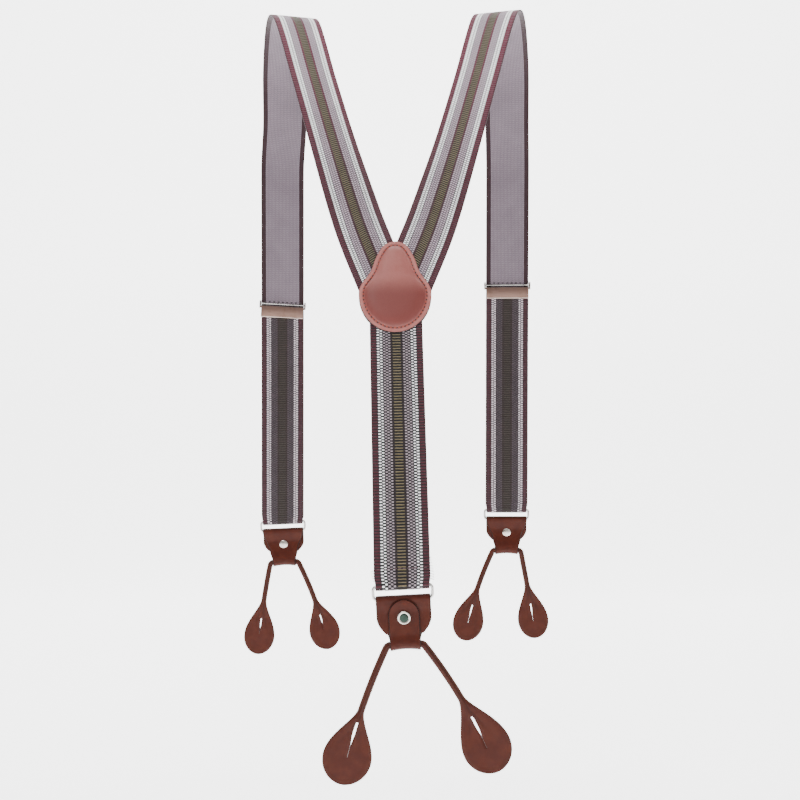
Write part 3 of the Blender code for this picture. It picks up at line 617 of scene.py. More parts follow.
def sweep(name, sections, materials, weave=None, slots=None, attributes=None, caps=True):
    """A closed skin through rings of points: sections is rings x points x 3. weave gives each point's
    place in mm, slots gives each strip's material index, and attributes name a number for each point."""
    rings, points, _ = sections.shape
    index = np.arange(rings * points).reshape(rings, points)
    right = np.roll(index, -1, axis=1)
    quads = np.stack([index[:-1], right[:-1], right[1:], index[1:]], axis=-1).reshape(-1, 4)
    faces = [tuple(quad) for quad in quads.tolist()]
    if caps:
        faces.append(tuple(index[0][::-1].tolist()))
        faces.append(tuple(index[-1].tolist()))
    mesh = bpy.data.meshes.new(name)
    mesh.from_pydata(sections.reshape(-1, 3).tolist(), [], faces)
    if slots is not None:
        chosen = np.tile(np.asarray(slots), rings - 1).tolist() + [0] * (2 if caps else 0)
        mesh.polygons.foreach_set("material_index", chosen)
    if weave is not None:
        layer = mesh.uv_layers.new(name="weave")
        corners = np.empty(len(mesh.loops), dtype=np.int32)
        mesh.loops.foreach_get("vertex_index", corners)
        layer.data.foreach_set("uv", weave.reshape(-1, 2)[corners].astype(np.float32).ravel())
    for key, values in (attributes or {}).items():
        attribute = mesh.attributes.new(key, "FLOAT", "POINT")
        attribute.data.foreach_set("value", np.asarray(values, np.float32).ravel())
    face_outwards(mesh)
    shade_smooth(mesh)
    return new_object(name, mesh, materials)


def across_columns(half, count, edge):
    """Places across a strip, closer together in its rounded edges."""
    inner = np.linspace(-half + edge, half - edge, count)
    rim = half - edge * (1 - np.sin(np.radians([30, 55, 78])))
    return np.concatenate([-rim[::-1], inner, rim])


def strip(
    name, centres, across, normals, halves, thickness, materials, columns, back_columns,
    places=None, relief=None,
):
    """A flat strip with rounded edges. relief(u, v, side) raises its skin, with u and v in metres."""
    stations = len(centres)
    widest = float(np.max(halves))
    front = across_columns(1.0, columns, STRIP_EDGE / widest)
    back = across_columns(1.0, back_columns, STRIP_EDGE / widest)[::-1]
    share = np.concatenate([front, back])
    is_front = np.concatenate([np.ones(len(front)), np.zeros(len(back))])
    halves = np.broadcast_to(np.asarray(halves, float), (stations,))
    u = share[None, :] * halves[:, None]
    into = np.clip((np.abs(u) - (halves[:, None] - STRIP_EDGE)) / STRIP_EDGE, 0, 1)
    half_thickness = thickness / 2 * np.sqrt(np.maximum(1 - into**2, 0.0004))
    side = np.where(is_front[None, :] > 0, 1.0, -1.0)
    height = side * half_thickness
    v = places if places is not None else np.zeros(stations)
    if relief is not None:
        height = height + side * relief(share[None, :] * WEBBING_WIDTH / 2, v[:, None], side) * (1 - into)
    sections = centres[:, None, :] + across[:, None, :] * u[..., None]
    sections = sections + normals[:, None, :] * height[..., None]
    across_mm = np.broadcast_to(share[None, :] * HALF_MM, u.shape)
    along_mm = np.broadcast_to(v[:, None] / MM, u.shape)
    weave = np.stack([across_mm, along_mm], axis=-1)
    slots = [0 if f > 0 else len(materials) - 1 for f in is_front]
    values = {"edge": np.clip((np.abs(u) - (halves[:, None] - 1.1 * MM)) / (1.1 * MM), 0, 1)}
    return sweep(name, sections, materials, weave, slots, values)


def tangents_of(points):
    return unit(np.gradient(points, axis=0))


def square_to(tangents, across):
    return unit(across - (across * tangents).sum(1, keepdims=True) * tangents)


def weave_relief(pitch, depth):
    """Ribs of the face, row by row, and a finer twill on the inner side."""

    def relief(u, v, side):
        inset = HALF_MM * MM - np.abs(u)
        row = v / pitch
        rib = np.abs((row % 1.0) - 0.5) * 2
        rows = smoothstep(0.2, 0.55, 1 - rib)
        mm = inset / MM
        odd = np.any([(mm > low) & (mm < high) for low, high in ODD_COLUMNS], axis=0)
        shifted = np.abs(((row + 0.5) % 1.0) - 0.5) * 2
        body = np.where(odd, smoothstep(0.2, 0.55, 1 - shifted), rows)
        flat = (mm < SELVEDGE) | ((mm > DASHES_TO) & (mm < CENTRE_FROM))
        body = np.where(flat, 0.25 * rows, body)
        return depth * np.where(side > 0, body - 0.5, 0.15 * np.sin(v / TWILL))

    return relief


# ---- Webbing ----


def strap_point(strap, z):
    top, end = strap["run_top"], strap["run_end"]
    return top.lerp(end, (z - top.z) / (end.z - top.z))


def shoulder_webbing(side, strap):
    """The strip from inside the yoke, over the shoulder and down to the ring's bar."""
    sign, drop = strap["sign"], strap["crown_drop"]
    run = (strap["run_end"] - strap["run_top"]).normalized()
    guides = [
        Vector((sign * x, y, z - drop * max(0, 1 + z / CROWN_FADE), turn * 1e-3))
        for x, y, z, turn in SHOULDER_ROUTE
    ]
    guides.append(Vector((*strap["run_top"], 0)))
    route = [tuple(p) for p in through(guides, 3 * MM, Vector((*run, 0)))]
    route.append((*strap["run_end"], 0))
    points, places = resample(route, UPPER_PITCH / ROW_STATIONS)
    centres = points[:, :3]
    tangents = tangents_of(centres)
    turn = np.radians(points[:, 3] * 1e3)
    left = np.clip(1 - (places[-1] - places) / LOOP_HEIGHT, 0, 1)
    roll = FRONT_ROLLS[side] * left * left * (3 - 2 * left)
    across = np.stack([sign * np.cos(turn), -np.sin(turn), sign * np.sin(roll)], axis=1)
    across = square_to(tangents, across)
    normals = sign * np.cross(across, tangents)
    halves = np.array([fold_width(h) / 2 for h in places[-1] - places])
    obj = strip(
        f"{side}_strap_weave", centres, across, normals, halves, WEBBING_THICKNESS, [FACE_UPPER, REVERSE],
        38, 12, places, weave_relief(UPPER_PITCH, 0.12 * MM),
    )
    trim_to_middle(obj, sign)
    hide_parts(f"{side}_shoulder_webbing", f"{side}_front_webbing")
    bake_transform(obj)


def trim_to_middle(obj, sign):
    """Inside the yoke the two straps meet at the middle, so neither crosses it."""
    for vertex in obj.data.vertices:
        if sign * vertex.co.x < AIR:
            vertex.co.x = sign * AIR


def fold_width(height):
    return ease(FOLD_WIDTH, WEBBING_WIDTH, height / (5 * MM))


def bar_frame(down, roll):
    """The ring bar's axis at a roll, and the strap's direction square to it."""
    bar_axis = Vector((math.cos(roll), 0, math.sin(roll)))
    return bar_axis, (down - down.dot(bar_axis) * bar_axis).normalized()


def return_webbing(side, strap):
    """Round the ring's bar and back up behind the strap to the adjuster's plate."""
    end = strap["run_end"]
    down = (end - strap["run_top"]).normalized()
    bar_axis, down_square = bar_frame(down, FRONT_ROLLS[side])
    face = bar_axis.cross(down_square)
    bar = end - WEBBING_FOLD * face
    path = []
    for angle in steps(0, math.pi, 24):
        point = bar + WEBBING_FOLD * (math.cos(angle) * face + math.sin(angle) * down_square)
        path.append((*point, *bar_axis, FOLD_WIDTH / 2))
    length = (end - strap_point(strap, strap["adjuster_z"])).length
    held = length - RETURN_END
    for h in steps(0, held, 60)[1:] + [length - 1 * MM]:
        depth = ease(2 * WEBBING_FOLD, RETURN_DEPTH, (h - LOOP_HEIGHT) / (held - LOOP_HEIGHT - 10 * MM))
        point = end - down * h - face * depth
        path.append((*point, *X.lerp(bar_axis, ease(1, 0, h / LOOP_HEIGHT)), fold_width(h) / 2))
    points, places = resample(path, RETURN_PITCH / ROW_STATIONS)
    centres = points[:, :3]
    tangents = tangents_of(centres)
    across = square_to(tangents, points[:, 3:6])
    normals = np.cross(across, tangents)
    obj = strip(
        f"{side}_return_weave", centres, across, normals, points[:, 6], WEBBING_THICKNESS,
        [FACE_RETURN_SHADED, REVERSE], 38, 12, places, weave_relief(RETURN_PITCH, 0.12 * MM),
    )
    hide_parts(f"{side}_return_webbing", f"{side}_return_end_webbing", f"{side}_loop_webbing")
    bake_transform(obj)
    return bar


def back_frame():
    down = Vector((math.tan(BACK_SWAY), -math.sin(BACK_LEAN), -math.cos(BACK_LEAN))).normalized()
    bar_axis, down_square = bar_frame(down, BACK_RING_ROLL)
    face = down_square.cross(bar_axis)
    end = YOKE_CENTRE + down * BACK_STRAP_RUN
    return down, bar_axis, down_square, face, end


def back_webbing():
    """From inside the yoke down to the back ring, round its bar, and up to the sewn flap."""
    down, bar_axis, down_square, face, end = back_frame()
    up_plane = Vector((0, math.sin(BACK_LEAN), math.cos(BACK_LEAN)))
    bar = end - WEBBING_FOLD * face
    path = []
    for t in steps(BACK_STRAP_START, BACK_STRAP_RUN, 90):
        roll = ease(BACK_SWAY, BACK_RING_ROLL, t / BACK_STRAP_RUN * 3 - 2)
        across = math.cos(roll) * X + math.sin(roll) * up_plane
        left = BACK_STRAP_RUN - t
        across = across.lerp(bar_axis, ease(1, 0, left / (8 * MM)))
        point = YOKE_CENTRE + down * t
        # the seam draws the two layers together and dents the face
        point = point - face * (0.35 * MM * math.exp(-(((left - BACK_SEAM) / (1.6 * MM)) ** 2)))
        path.append((*point, *across, fold_width(left) / 2))
    for angle in steps(0, math.pi, 24)[1:]:
        point = bar + WEBBING_FOLD * (math.cos(angle) * face + math.sin(angle) * down_square)
        path.append((*point, *bar_axis, FOLD_WIDTH / 2))
    for h in steps(0, BACK_FLAP, 30)[1:]:
        depth = ease(2 * WEBBING_FOLD, RETURN_DEPTH, h / BACK_SEAM)
        point = end - down * h - face * depth
        path.append((*point, *bar_axis, fold_width(h) / 2))
    points, places = resample(path, BACK_PITCH / 5)
    centres = points[:, :3]
    tangents = tangents_of(centres)
    across = square_to(tangents, points[:, 3:6])
    normals = np.cross(tangents, across)
    obj = strip(
        "back_strap_weave", centres, across, normals, points[:, 6], WEBBING_THICKNESS, [FACE_BACK, REVERSE],
        60, 14, places, weave_relief(BACK_PITCH, 0.22 * MM),
    )
    fit(obj, "webbing", "harness", "back_strap_webbing")
    return bar


# ---- Leather and metal ends ----


def tube(name, points, radius, material, closed=False, sides=8):
    curve = bpy.data.curves.new(name, "CURVE")
    curve.dimensions = "3D"
    curve.bevel_depth = radius
    curve.bevel_resolution = sides // 2
    curve.use_fill_caps = not closed
    spline = curve.splines.new("POLY")
    spline.points.add(len(points) - 1)
    spline.use_cyclic_u = closed
    for point, at in zip(spline.points, points):
        point.co = (*at, 1)
    holder = bpy.data.objects.new(name + "_curve", curve)
    bpy.context.scene.collection.objects.link(holder)
    bpy.context.view_layer.update()
    mesh = bpy.data.meshes.new_from_object(holder.evaluated_get(bpy.context.evaluated_depsgraph_get()))
    bpy.data.objects.remove(holder, do_unlink=True)
    mesh.name = name
    shade_smooth(mesh)
    mesh.materials.clear()
    return new_object(name, mesh, [material])


def end_matrix(spec, bar):
    return Matrix.Translation(bar) @ Matrix.Rotation(-spec["roll"], 4, "Y")


def ring(end, matrix):
    inset = RING_CORNER
    corners = [
        (RING_HALF_WIDTH - inset, -inset, 90),
        (RING_HALF_WIDTH - inset, -RING_BAR_SPACING + inset, 0),
        (-RING_HALF_WIDTH + inset, -RING_BAR_SPACING + inset, -90),
        (-RING_HALF_WIDTH + inset, -inset, -180),
    ]
    points = []
    for x, z, start in corners:
        for angle in steps(math.radians(start), math.radians(start - 90), 12):
            points.append(matrix @ Vector((x + inset * math.cos(angle), 0, z + inset * math.sin(angle))))
    obj = tube(f"{end}_ring_wire", points, WIRE_RADIUS, NICKEL, closed=True, sides=16)
    fit(obj, "nickel", f"{end}_ring_body", f"{end}_ring")


def tongue_out(depth, drop, free):
    if depth > free:
        return ease(TUNNEL_RADIUS, TONGUE_FLAT, (drop - depth) / (drop - free))
    return ease(TAB_FOLD + LEATHER + AIR, TONGUE_FLAT, depth / EASE_DEPTH)


def tab_path(spec):
    """(out, height, half width) along the strip, from its free end round the bar and then the cord."""
    free, drop = spec["free_end"], spec["tunnel_drop"]

    def lobe(depth):
        into = max(0, depth / free - 0.5) / 0.5
        return TAB_WAIST + (TAB_HALF_WIDTH - TAB_WAIST) * (1 - into**2)

    def taper(depth):
        if depth < 0.62 * drop:
            return ease(TAB_HALF_WIDTH, TAB_WAIST, depth / drop / 0.62)
        return ease(TAB_WAIST, TUNNEL_HALF_WIDTH, (depth / drop - 0.62) / 0.38)

    path = []
    for turn in steps(math.pi / 2, 0, 24):
        depth = free * (0.5 + 0.5 * math.sin(turn))
        path.append((ease(TAB_FOLD, TAB_FLAT, depth / EASE_DEPTH), -depth, lobe(depth)))
    for depth in steps(free * 0.5, 0.3 * MM, 24)[1:]:
        path.append((ease(TAB_FOLD, TAB_FLAT, depth / EASE_DEPTH), -depth, TAB_HALF_WIDTH))
    for angle in steps(0, math.pi, 20):
        path.append((TAB_FOLD * math.cos(angle), TAB_FOLD * math.sin(angle), TAB_HALF_WIDTH - 0.1 * MM))
    for depth in steps(0.3 * MM, drop, 60)[:-1]:
        flat = ease(TAB_FOLD, TAB_FLAT, depth / EASE_DEPTH)
        out = max(flat, ease(TAB_FLAT, TUNNEL_RADIUS, (depth - 0.3 * drop) / (0.7 * drop)))
        path.append((-out, -depth, taper(depth)))
    for angle in steps(math.pi, 2 * math.pi, 24):
        out, rise = TUNNEL_RADIUS * math.cos(angle), TUNNEL_RADIUS * math.sin(angle)
        path.append((out, -drop + rise, TUNNEL_HALF_WIDTH))
    for depth in steps(drop, TONGUE_HALF_WIDTH, 30)[1:]:
        path.append((tongue_out(depth, drop, free), -depth, TONGUE_HALF_WIDTH))
    for angle in steps(0, math.radians(86), 20)[1:]:
        depth = TONGUE_HALF_WIDTH * (1 - math.sin(angle))
        path.append((tongue_out(depth, drop, free), -depth, TONGUE_HALF_WIDTH * math.cos(angle)))
    return path


def arch(x):
    """How far the cord, and the leather round it, rise in the middle of the tab."""
    return ARCH * (1 - min(1, abs(x) / TUNNEL_HALF_WIDTH) ** 2)


def tab(end, spec, matrix):
    """The folded leather strip. matrix places the ring's lower bar."""
    outward = spec["outward"]
    path = tab_path(spec)
    centres = np.array([(0, outward * out, height) for out, height, _ in path])
    halves = np.array([half for _, _, half in path])
    tangents = tangents_of(centres)
    across = np.tile(np.array((1.0, 0, 0)), (len(path), 1))
    normals = np.cross(across, tangents) * outward
    obj = strip(
        f"{end}_tab_leather", centres, across, normals, halves, LEATHER, [TAB_LEATHER, TAB_LEATHER], 30, 30,
    )
    for vertex in obj.data.vertices:
        low = ease(0, 1, (-vertex.co.z - spec["tunnel_drop"] + 9 * MM) / (9 * MM))
        vertex.co.z += low * arch(vertex.co.x)
    obj.data.transform(matrix)
    fit(obj, "tab_leather", f"{end}_tab_body", f"{end}_tab")


def turned(name, profile, material, matrix, outward, segments=40):
    """A round piece about Y. Profile points are (radius, height), with height going outward."""
    rings = []
    for radius, height in profile:
        radius = max(radius, 0.01 * MM)
        rings.append([
            (radius * math.cos(a), outward * height, radius * math.sin(a))
            for a in np.linspace(0, 2 * math.pi, segments, endpoint=False)
        ])
    obj = sweep(name, np.array(rings), [material])
    obj.data.transform(matrix)
    return obj


def scaled(profile, radius):
    """A round piece's profile from shares of its radius and heights in mm."""
    return [(radius * share, height * MM) for share, height in profile]


def rivet(end, spec, matrix):
    """The cap with its post and the dark disc in its ring, and the domed base on the inner side."""
    outward, radius = spec["outward"], spec["rivet_radius"]
    seat = TONGUE_FLAT + LEATHER / 2
    tail = TAB_FLAT + LEATHER / 2
    foot = -(seat + tail + 0.9 * MM)
    at = matrix @ Matrix.Translation((0, outward * seat, -RIVET_DEPTH))
    cap_ring = [(0, 0.95), (0.55, 0.95), (0.66, 1.0), (0.76, 1.25), (0.88, 1.3), (0.97, 1.0), (1, 0.6)]
    profile = scaled(cap_ring + [(0.98, 0.15), (0.9, 0)], radius)
    profile += [(POST_RADIUS, 0.0), (POST_RADIUS, foot), (0.0, foot)]
    cap = turned(f"{end}_rivet_top", profile, RIVET_METAL, at, outward)
    fit(cap, "nickel", f"{end}_tab_body", f"{end}_rivet_cap")
    face = scaled([(0, 1.08), (0.5, 1.06), (0.7, 0.98), (0.7, 0.8), (0, 0.8)], radius)
    disc = turned(f"{end}_rivet_disc", face, RIVET_FACE, at, outward)
    fit(disc, "nickel", f"{end}_tab_body")
    rim = radius - 0.3 * MM
    at = matrix @ Matrix.Translation((0, -outward * tail, -RIVET_DEPTH))
    profile = [(0.0, 0.98 * MM)]
    profile += [(rim * math.sin(a), (0.25 + 0.75 * math.cos(a)) * MM) for a in steps(0.12, math.pi / 2, 12)]
    profile += [(rim * 0.97, 0.0), (0.0, 0.0)]
    base = turned(f"{end}_rivet_foot", profile, RIVET_METAL, at, -outward)
    fit(base, "nickel", f"{end}_tab_body", f"{end}_rivet_base")


def bend_end(angle):
    """Where the cord's bend beside the tab ends, and which way it points there."""
    across = TUNNEL_HALF_WIDTH + CORD_BEND * math.cos(angle)
    down = CORD_BEND * (1 - math.sin(angle))
    return Vector((across, 0, -down)), Vector((math.sin(angle), 0, -math.cos(angle)))


def runner_middle(end, spec, matrix):
    """The cord inside the tab's lower loop."""
    reach = TUNNEL_HALF_WIDTH - 0.6 * MM
    points = [matrix @ Vector((x, 0, arch(x))) for x in steps(-reach, reach, 16)]
    obj = tube(f"{end}_runner_middle", points, CORD_RADIUS - 0.5 * MM, RUNNER_LEATHER, sides=20)
    fit(obj, "runner_leather", f"{end}_runner_body", f"{end}_runner_cord")


def leg_point(s, shape):
    """The leg's middle at a distance along it, and its angle from plumb."""
    start, sign = shape["start"], shape["side"]
    bend = (shape["tip"] - start) / (shape["cord"] + shape["paddle"])
    angle = start + bend * s
    x = (math.cos(start) - math.cos(angle)) / bend
    z = -(math.sin(angle) - math.sin(start)) / bend
    return Vector((sign * x, 0, z)), angle


def paddle_half_width(s, spec, shape):
    full = spec["paddle_half_width"]
    widest = shape["paddle"] - spec["paddle_end"]
    if s <= widest:
        return ease(CORD_RADIUS, full, (max(s, 0) / widest) ** 0.85)
    return full * math.sqrt(max(0, 1 - ((s - widest) / spec["paddle_end"]) ** 2))


def leg_section(half, thick, below, paddle, count=64):
    """One section of a leg as (across, out, edge, lap in mm) round it. The rolled cord has a lapped seam
    that opens into two soft folds as the leather flares, and the paddle is dished inside a raised rim."""
    flat = max(half - thick, 0)
    opening = ease(0, 1, below / (0.6 * paddle)) if below > 0 else 0
    found = []
    for i in range(count):
        a = 2 * math.pi * i / count
        c, s = math.cos(a), math.sin(a)
        x = (flat + thick) * np.sign(c) * abs(c) ** (1.0 if flat <= 0 else 0.75)
        spread = x / max(half, 1e-6)
        if flat > 0:
            rise = thick * math.sqrt(max(0, 1 - (max(0, abs(x) - flat) / thick) ** 2)) * np.sign(s)
            rise = 0 if abs(s) < 1e-9 else rise
        else:
            rise = thick * s
        ridge = 0
        if below > 0:
            ridge = (1 - opening) * (CORD_RADIUS - thick) * math.exp(-((x / (2.2 * MM)) ** 2))
        fold_at = 0.28 * CORD_RADIUS + opening * 0.52 * max(0, half - CORD_RADIUS)
        width = (0.36 + 1.1 * opening) * MM
        lap = -0.34 * MM * (1 - opening) ** 0.7 * math.exp(-(((x - fold_at) / width) ** 2))
        lap -= 0.20 * MM * (1 - opening) ** 0.7 * math.exp(-(((x + 1.35 * fold_at) / width) ** 2))
        dish = 0
        if below > 8 * MM:
            dish = -0.22 * MM * ease(0, 1, (below - 8 * MM) / (10 * MM)) * math.exp(-((spread / 0.62) ** 6))
        edge = max(0, (abs(spread) - 0.955) / 0.045)
        found.append((x, rise + np.sign(s) * (ridge + lap + dish), edge, lap / MM))
    return found


def leg(end, name, spec, matrix):
    """One leg: round cord from the tab's edge, then a flat paddle with a slit for the button."""
    shape = spec["legs"][name]
    sign, start, cord, paddle = shape["side"], shape["start"], shape["cord"], shape["paddle"]
    place_at, way = bend_end(start)
    origin = place_at + way * (1 * MM + FLEX_GAP)
    origin.x *= sign
    sections, edges, folds = [], [], []

    def add(centre, across, half, thick, below):
        found = leg_section(half, thick, below, paddle)
        sections.append([matrix @ (centre + across * x + Y * rise) for x, rise, _, _ in found])
        edges.append([edge if below > 5 * MM else 0 for _, _, edge, _ in found])
        # painted shade in the lap grooves
        folds.append([min(1, max(0, -lap * 2.2)) for _, _, _, lap in found])

    sideways = Vector((0, 0, sign))
    add(Vector((sign * (TUNNEL_HALF_WIDTH - 1 * MM), 0, 0)), sideways, CORD_RADIUS, CORD_RADIUS, -1)
    for angle in steps(math.pi / 2, start, 12):
        at, _ = bend_end(angle)
        at.x *= sign
        across = Vector((math.cos(angle), 0, sign * math.sin(angle)))
        add(at, across, CORD_RADIUS, CORD_RADIUS, -1)
    round_from = paddle - spec["paddle_end"]
    stations = steps(0, cord, 30)
    stations += [cord + s for s in steps(0, round_from, 60)[1:]]
    tip_turns = steps(0, math.radians(87), 30)[1:]
    stations += [cord + round_from + spec["paddle_end"] * math.sin(a) for a in tip_turns]
    for s in stations:
        centre, angle = leg_point(s, shape)
        across = Vector((math.cos(angle), 0, sign * math.sin(angle)))
        below = s - cord
        thick = CORD_RADIUS if below <= 0 else ease(CORD_RADIUS, PADDLE_HALF_THICKNESS, below / (14 * MM))
        half = CORD_RADIUS if below <= 0 else paddle_half_width(below, spec, shape)
        if below > round_from:
            thick = min(thick, max(half, 0.25 * MM))
        add(origin + centre, across, max(half, thick), thick, below)
    obj = sweep(
        f"{end}_{name}_leather", np.array(sections), [RUNNER_LEATHER],
        attributes={"edge": edges, "lap_shade": folds},
    )
    cut_slit(obj, spec, shape, matrix @ Matrix.Translation(origin))
    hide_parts(f"{end}_{name}")
    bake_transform(obj)


def cut_slit(obj, spec, shape, matrix):
    """The buttonhole: it gapes towards the cord and closes to a line below."""
    sign, cord = shape["side"], shape["cord"]
    slit_from, slit_to = shape["slit"]
    rings = []
    for s in steps(cord + slit_from, cord + slit_to, 30):
        t = (s - cord - slit_from) / (slit_to - slit_from)
        centre, angle = leg_point(s, shape)
        across = Vector((math.cos(angle), 0, sign * math.sin(angle)))
        gape = 0.14 * MM + spec["gape"] * min(1, 0.55 + t / 0.12) * ease(1, 0, (t - 0.34) / 0.3)
        slant = across * (0.5 * MM * ease(0, 1, (t - 0.5) / 0.2) * CUT_SLANT)
        wide, deep = across * gape, Y * 4 * MM
        front, back = centre - deep - 4 * slant, centre + deep + 4 * slant
        rings.append([front - wide, front + wide, back + wide, back - wide])
    cutter = sweep(obj.name + "_slit", np.array([[matrix @ p for p in r] for r in rings]), [RUNNER_LEATHER])
    boolean = obj.modifiers.new("slit", "BOOLEAN")
    boolean.operation = "DIFFERENCE"
    boolean.object = cutter
    boolean.solver = "EXACT"
    bpy.context.view_layer.update()
    mesh = bpy.data.meshes.new_from_object(obj.evaluated_get(bpy.context.evaluated_depsgraph_get()))
    obj.modifiers.clear()
    obj.data = mesh
    bpy.data.objects.remove(cutter, do_unlink=True)


def leather_end(end, spec, bar):
    ring_at = end_matrix(spec, bar)
    ring(end, ring_at)
    tab_at = ring_at @ Matrix.Translation((0, 0, -RING_BAR_SPACING))
    tab(end, spec, tab_at)
    rivet(end, spec, tab_at)
    runner_at = tab_at @ Matrix.Translation((0, 0, -spec["tunnel_drop"]))
    runner_middle(end, spec, runner_at)
    for name in spec["legs"]:
        leg(end, name, spec, runner_at)


# ---- Yoke ----


def yoke_outline(inset=0.0, count=400):
    """Even points round the outline, moved in by inset."""
    slope = math.asin((YOKE_LOW_RADIUS - YOKE_TOP_RADIUS) / (YOKE_TOP_CENTRE - YOKE_LOW_CENTRE))
    low = YOKE_LOW_RADIUS - inset
    long = YOKE_LOW_RADIUS * YOKE_LOW_STRETCH - inset
    top = YOKE_TOP_RADIUS - inset
    lower = [
        (low * math.cos(a), YOKE_LOW_CENTRE + (long if a < 0 else low) * math.sin(a))
        for a in steps(-math.pi / 2, slope, 90)
    ]
    upper = [
        (top * math.cos(a), YOKE_TOP_CENTRE + top * math.sin(a)) for a in steps(slope, math.pi / 2, 40)
    ]
    start, end = Vector(lower[-1]), Vector(upper[0])
    side = [tuple(start.lerp(end, t)) for t in steps(0, 1, 30)[1:-1]]
    right = []
    for x, y in lower + side + upper:
        t = (y - YOKE_WAIST_LOW) / (YOKE_WAIST_HIGH - YOKE_WAIST_LOW)
        right.append((x - YOKE_WAIST * math.sin(math.pi * min(max(t, 0), 1)) ** 2, y))
    points = right + [(-x, y) for x, y in reversed(right[1:-1])]
    points.append(points[0])
    points = np.array(points)
    lengths = np.concatenate([[0], np.cumsum(np.linalg.norm(np.diff(points, axis=0), axis=1))])
    at = np.linspace(0, lengths[-1], count, endpoint=False)
    return np.stack([np.interp(at, lengths, column) for column in points.T], axis=1), lengths[-1]


def yoke_distance(points, outline):
    gaps = np.linalg.norm(points[:, None, :] - outline[None, :, :], axis=2)
    return gaps.min(axis=1)


def yoke_patch(name, node, side, puff):
    """A leather patch whose middle swells inside its stitched rim."""
    count = 400
    outline, _ = yoke_outline(0, count)
    _, around = yoke_outline(STITCH_INSET, count)
    centre = np.array([0, -2 * MM])
    shares = [0.992, 0.98, 0.965, 0.95, 0.935, 0.92, 0.905, 0.89, 0.875, 0.86, 0.84, 0.82, 0.79]
    shares += [0.75, 0.7, 0.64, 0.57, 0.49, 0.4, 0.3, 0.2, 0.1, 0.02]
    seat = WEBBING_THICKNESS / 2 + 0.12 * MM
    rings, edge, rim_sheen, yoke_shade = [], [], [], []
    stitches = round(around / STITCH_PITCH)
    phase = np.linspace(0, 2 * math.pi * stitches, count, endpoint=False)

    def cut_ring(share, height):
        flat = centre + (outline - centre) * share
        rings.append(np.column_stack([flat, np.full(count, height)]))
        edge.append(np.ones(count))
        yoke_shade.append(np.zeros(count))

    under = ((0.02, 0), (0.6, 0), (0.97, 0), (0.99, 0.1), (0.998, 0.35), (1.0, 0.6), (0.998, 0.9))
    for share, height in under:
        cut_ring(share, side * (seat + height * MM))
    rim_sheen += [np.zeros(count)] * len(under)
    for share in shares:
        flat = centre + (outline - centre) * share
        d = yoke_distance(flat, outline)
        base = 1.15 * MM + 0.12 * MM * smoothstep(0, 0.7 * MM, d)
        groove = -0.38 * MM * np.exp(-(((d - STITCH_INSET) / (0.42 * MM)) ** 2))
        pucker = 0.10 * MM * np.cos(phase) * np.exp(-(((d - STITCH_INSET) / (0.9 * MM)) ** 2))
        swell = puff * (1 - np.exp(-np.maximum(d - STITCH_INSET, 0) / (3.2 * MM)))
        height = side * (seat + base + groove + pucker + swell)
        rings.append(np.column_stack([flat, height]))
        edge.append(np.clip(1 - d / (0.5 * MM), 0, 1))
        # painted sheen: a lighter band along the rim welt outside the stitches
        rim_sheen.append(0.3 * np.exp(-(((d - 1.5 * MM) / (0.7 * MM)) ** 2)))
        # painted shade: darker inside the stitches and towards the bottom of the patch
        inside = smoothstep(STITCH_INSET - 0.5 * MM, STITCH_INSET + 1.5 * MM, d)
        below = 0.25 + 0.75 * smoothstep(6 * MM, -9 * MM, flat[:, 1])
        yoke_shade.append(inside * below)
    values = {"edge": edge, "rim_sheen": rim_sheen, "yoke_shade": yoke_shade}
    obj = sweep(name, np.array(rings), [YOKE_LEATHER], attributes=values)
    obj.data.transform(yoke_matrix())
    fit(obj, "yoke_leather", "harness", node)
    return seat + 1.15 * MM


def yoke_matrix():
    return Matrix.Translation(YOKE_CENTRE) @ Matrix.Rotation(math.pi / 2 - BACK_LEAN, 4, "X")


def stitches(name, places, ways, normals, length, radius, material, body, sink=0.22 * MM):
    """Short threads, each one humped between two needle holes."""
    verts, faces = [], []
    sides, parts = 8, 7
    for at, way, up in zip(places, ways, normals):
        at, way, up = Vector(at), Vector(way).normalized(), Vector(up).normalized()
        other = way.cross(up)
        base = len(verts)
        for i in range(parts):
            t = i / (parts - 1) * 2 - 1
            thick = radius * math.sqrt(max(0.05, 1 - t**4))
            middle = at + way * (t * length / 2) + up * (radius * 0.55 - sink * t**4)
            for k in range(sides):
                a = 2 * math.pi * k / sides
                verts.append(middle + other * (thick * math.cos(a)) + up * (thick * math.sin(a)))
        for i in range(parts - 1):
            for k in range(sides):
                a, b = base + i * sides + k, base + i * sides + (k + 1) % sides
                faces.append((a, b, b + sides, a + sides))
        faces.append(tuple(base + k for k in reversed(range(sides))))
        faces.append(tuple(base + (parts - 1) * sides + k for k in range(sides)))
    mesh = bpy.data.meshes.new(name)
    mesh.from_pydata(verts, [], faces)
    face_outwards(mesh)
    shade_smooth(mesh)
    fit(new_object(name, mesh, [material]), "webbing", body)


def spots(name, places, ways, normals, half_length, half_width, material, slot, body):
    """Small dark spots of painted shade for dimples and holes: each a low oval dome."""
    verts, faces = [], []
    for at, way, up in zip(places, ways, normals):
        at, way, up = Vector(at), Vector(way).normalized(), Vector(up).normalized()
        other = way.cross(up)
        base = len(verts)
        verts.append(at + up * 0.10 * MM)
        for share, height in ((0.6, 0.08), (1.0, -0.06)):
            for k in range(10):
                a = 2 * math.pi * k / 10
                lengthways = way * (share * half_length * math.cos(a))
                sideways = other * (share * half_width * math.sin(a))
                verts.append(at + (lengthways + sideways) + up * (height * MM))
        for k in range(10):
            after = (k + 1) % 10
            faces.append((base, base + 1 + k, base + 1 + after))
            faces.append((base + 1 + k, base + 11 + k, base + 11 + after, base + 1 + after))
        faces.append(tuple(base + 11 + k for k in range(10)))
    mesh = bpy.data.meshes.new(name)
    mesh.from_pydata(verts, [], faces)
    face_outwards(mesh)
    fit(new_object(name, mesh, [material]), slot, body)


